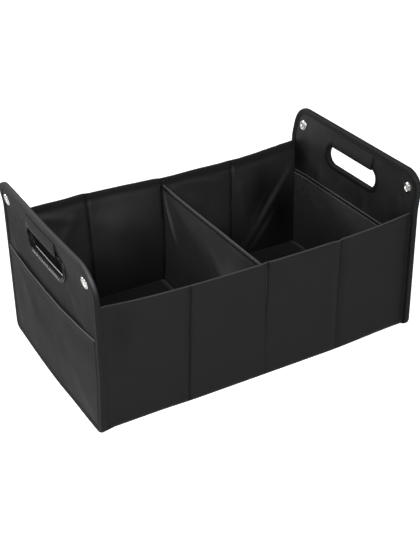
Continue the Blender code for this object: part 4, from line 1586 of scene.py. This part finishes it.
def stitch_row(name, points, slot_name="edge_tape"):
    """One mesh of stitches: points is a list of (place, direction along the row)."""
    bm = bmesh.new()
    for place, along in points:
        turn = along.to_track_quat("X", "Z").to_matrix().to_4x4()
        size = Matrix.Diagonal((STITCH_LENGTH, STITCH_THICK, STITCH_THICK, 1.0))
        matrix = Matrix.Translation(place) @ turn @ size
        bmesh.ops.create_icosphere(bm, subdivisions=1, radius=1.0, matrix=matrix)
    flat_map(bm, lambda vert: (vert.co.x + vert.co.y, vert.co.z))
    return finish_piece(name, bm, THREAD, (), slot_name, 80.0)


def along_line(start, end, place):
    """Stitches from start to end of one coordinate, where place gives the point on the cloth."""
    count = round((end - start) / STITCH_PITCH)
    found = []
    for i in range(count):
        at = start + (end - start) * (i + 0.5) / count
        found.append((place(at), (place(at + 0.001) - place(at - 0.001)).normalized()))
    return found


def on_arc(y, z, radius, turn):
    return y + radius * math.cos(turn), z + radius * math.sin(turn)


def panel_seam(side, depth, inset):
    """Stitches all the way round an end panel, at a distance in from its edge."""
    low_r, high_r = BOTTOM_RADIUS - inset, TOP_RADIUS - inset
    legs = [
        (2 * low_y, lambda s: (-low_y + s, inset)),
        (low_r * quarter, lambda s: on_arc(low_y, BOTTOM_RADIUS, low_r, s / low_r - quarter)),
        (side_run, lambda s: (HALF_WIDTH - inset, BOTTOM_RADIUS + s)),
        (high_r * quarter, lambda s: on_arc(high_y, high_z, high_r, s / high_r)),
        (2 * high_y, lambda s: (high_y - s, PANEL_HEIGHT - inset)),
        (high_r * quarter, lambda s: on_arc(-high_y, high_z, high_r, s / high_r + quarter)),
        (side_run, lambda s: (inset - HALF_WIDTH, high_z - s)),
        (low_r * quarter, lambda s: on_arc(-low_y, BOTTOM_RADIUS, low_r, s / low_r + 2 * quarter)),
    ]
    found = []
    for length, at in legs:
        found += along_line(0.0, length, lambda s, at=at: Vector((panel_x(side, depth), *at(s))))
    return found


TAPE_SEAM = 0.0068
for end_name, side in (("left", -1), ("right", 1)):
    seam = panel_seam(side, -0.0009, TAPE_SEAM) + panel_seam(side, PANEL_DEPTH + 0.0009, TAPE_SEAM)
    stitch_row(f"edge_stitches_{end_name}", seam)

# %% Hem, pocket and tape stitches
for wall_name, side in (("front", -1), ("back", 1)):

    def hem_outside(x, side=side):
        return Vector((x, side * (WALL_FACE + 0.0002 - fold_dip(x, 0.17)), wall_top(side, x) - HEM + 0.0015))

    def hem_inside(x, side=side):
        depth = WALL_DEPTH - fold_dip(x, 0.17) * 0.7
        return Vector((x, side * (WALL_FACE - depth), wall_top(side, x) - HEM + 0.0015))

    reach = WALL_END - 0.004
    rows = along_line(-reach, reach, hem_outside) + along_line(-reach, reach, hem_inside)
    stitch_row(f"{wall_name}_wall_stitches", rows, "outer_cloth")


def pocket_seam(y):
    across = y / pocket_high.y
    top = POCKET_TOP - POCKET_SAG * (1 - across**2)
    v = (top - POCKET_HEM - pocket_low.z) / (top - pocket_low.z)
    return pocket_place((across + 1) / 2, v)


def divider_seam(face):
    seam_z = divider_tape_high.z - DIVIDER_TAPE_LEG + 0.0016
    return lambda y: Vector((face * (tape_half - 0.0002), y, seam_z - divider_sag(y)))


def mesh_seam(y):
    return Vector((mesh_tape_low.x + 0.0001, y, mesh_tape_high.z - 0.0062))


stitch_row("outer_pocket_stitches", along_line(-0.136, 0.136, pocket_seam), "outer_cloth")
divider_rows = along_line(-0.137, 0.137, divider_seam(-1)) + along_line(-0.137, 0.137, divider_seam(1))
stitch_row("divider_stitches", divider_rows)
stitch_row("mesh_pocket_stitches", along_line(-0.137, 0.137, mesh_seam))

# %% [markdown]
# ## Studio
#
# The photograph has a pure white ground and soft light from three sides: a wide lamp in front, a
# smaller one behind on the left, which draws the bright lines on the rims and the slot ring, and a weak
# one on the left. The floor is a white sheet that keeps the organiser's shadow, and it glows a little to
# the camera alone, so that it stays white far away. The world is white to the camera and through clear
# things, weaker in reflections, and only a mild fill for everything else.

# %% Floor
FLOOR_REACH = 6.0
FLOOR_GLOW = 0.87
bm = bmesh.new()
bmesh.ops.create_grid(bm, x_segments=1, y_segments=1, size=FLOOR_REACH)
floor_mesh = bpy.data.meshes.new("studio_floor")
bm.to_mesh(floor_mesh)
bm.free()
floor = bpy.data.objects.new("studio_floor", floor_mesh)
bpy.context.scene.collection.objects.link(floor)

floor_material, floor_tree, floor_shader = shader_of("studio_floor")
floor_shader.inputs["Roughness"].default_value = 0.9
floor_shader.inputs["Specular IOR Level"].default_value = 0.0
floor_marks = noise_node(floor_tree, object_coordinates(floor_tree), 3.0)
floor_tone = math_node(floor_tree, "MULTIPLY_ADD", floor_marks, 0.02, 0.93)
floor_tree.links.new(tinted(floor_tree, (1.0, 1.0, 1.0), floor_tone), floor_shader.inputs["Base Color"])
floor_shader.inputs["Emission Color"].default_value = (1.0, 1.0, 1.0, 1.0)
floor_path = floor_tree.nodes.new("ShaderNodeLightPath")
floor_glow = math_node(floor_tree, "MULTIPLY", floor_path.outputs["Is Camera Ray"], FLOOR_GLOW)
floor_tree.links.new(floor_glow, floor_shader.inputs["Emission Strength"])
floor_mesh.materials.append(floor_material)

# %% World
FILL = 0.14
MIRRORED = 0.42
world = bpy.data.worlds.new("studio")
bpy.context.scene.world = world
world.use_nodes = True
world_tree = world.node_tree
world_tree.nodes.clear()
light_path = world_tree.nodes.new("ShaderNodeLightPath")
camera_ray, clear_ray = light_path.outputs["Is Camera Ray"], light_path.outputs["Is Transmission Ray"]
seen = math_node(world_tree, "MAXIMUM", camera_ray, clear_ray)
mirrored = math_node(world_tree, "MULTIPLY", light_path.outputs["Is Glossy Ray"], MIRRORED)
strength = math_node(world_tree, "MAXIMUM", math_node(world_tree, "MAXIMUM", seen, mirrored), FILL)
backdrop = world_tree.nodes.new("ShaderNodeBackground")
world_tree.links.new(strength, backdrop.inputs["Strength"])
backdrop.inputs["Color"].default_value = (1.0, 1.0, 1.0, 1.0)
world_output = world_tree.nodes.new("ShaderNodeOutputWorld")
world_tree.links.new(backdrop.outputs[0], world_output.inputs["Surface"])


# %% Lamps
def softbox(name, place, size, power):
    """A square soft lamp that looks at the organiser."""
    data = bpy.data.lights.new(name, "AREA")
    data.size = size
    data.energy = power
    lamp = bpy.data.objects.new(name, data)
    lamp.location = place
    lamp.rotation_mode = "QUATERNION"
    lamp.rotation_quaternion = (Vector((0, 0, 0.1)) - Vector(place)).to_track_quat("-Z", "Y")
    bpy.context.scene.collection.objects.link(lamp)
    print(name, "at", place, "with", power, "W")


softbox("front_softbox", (-0.7, -2.6, 1.2), 1.6, 72.0)
softbox("back_softbox", (-1.7, 2.5, 1.5), 0.7, 38.0)
softbox("left_softbox", (-2.0, -0.3, 2.0), 1.0, 16.0)
bpy.context.scene.view_settings.view_transform = "Standard"
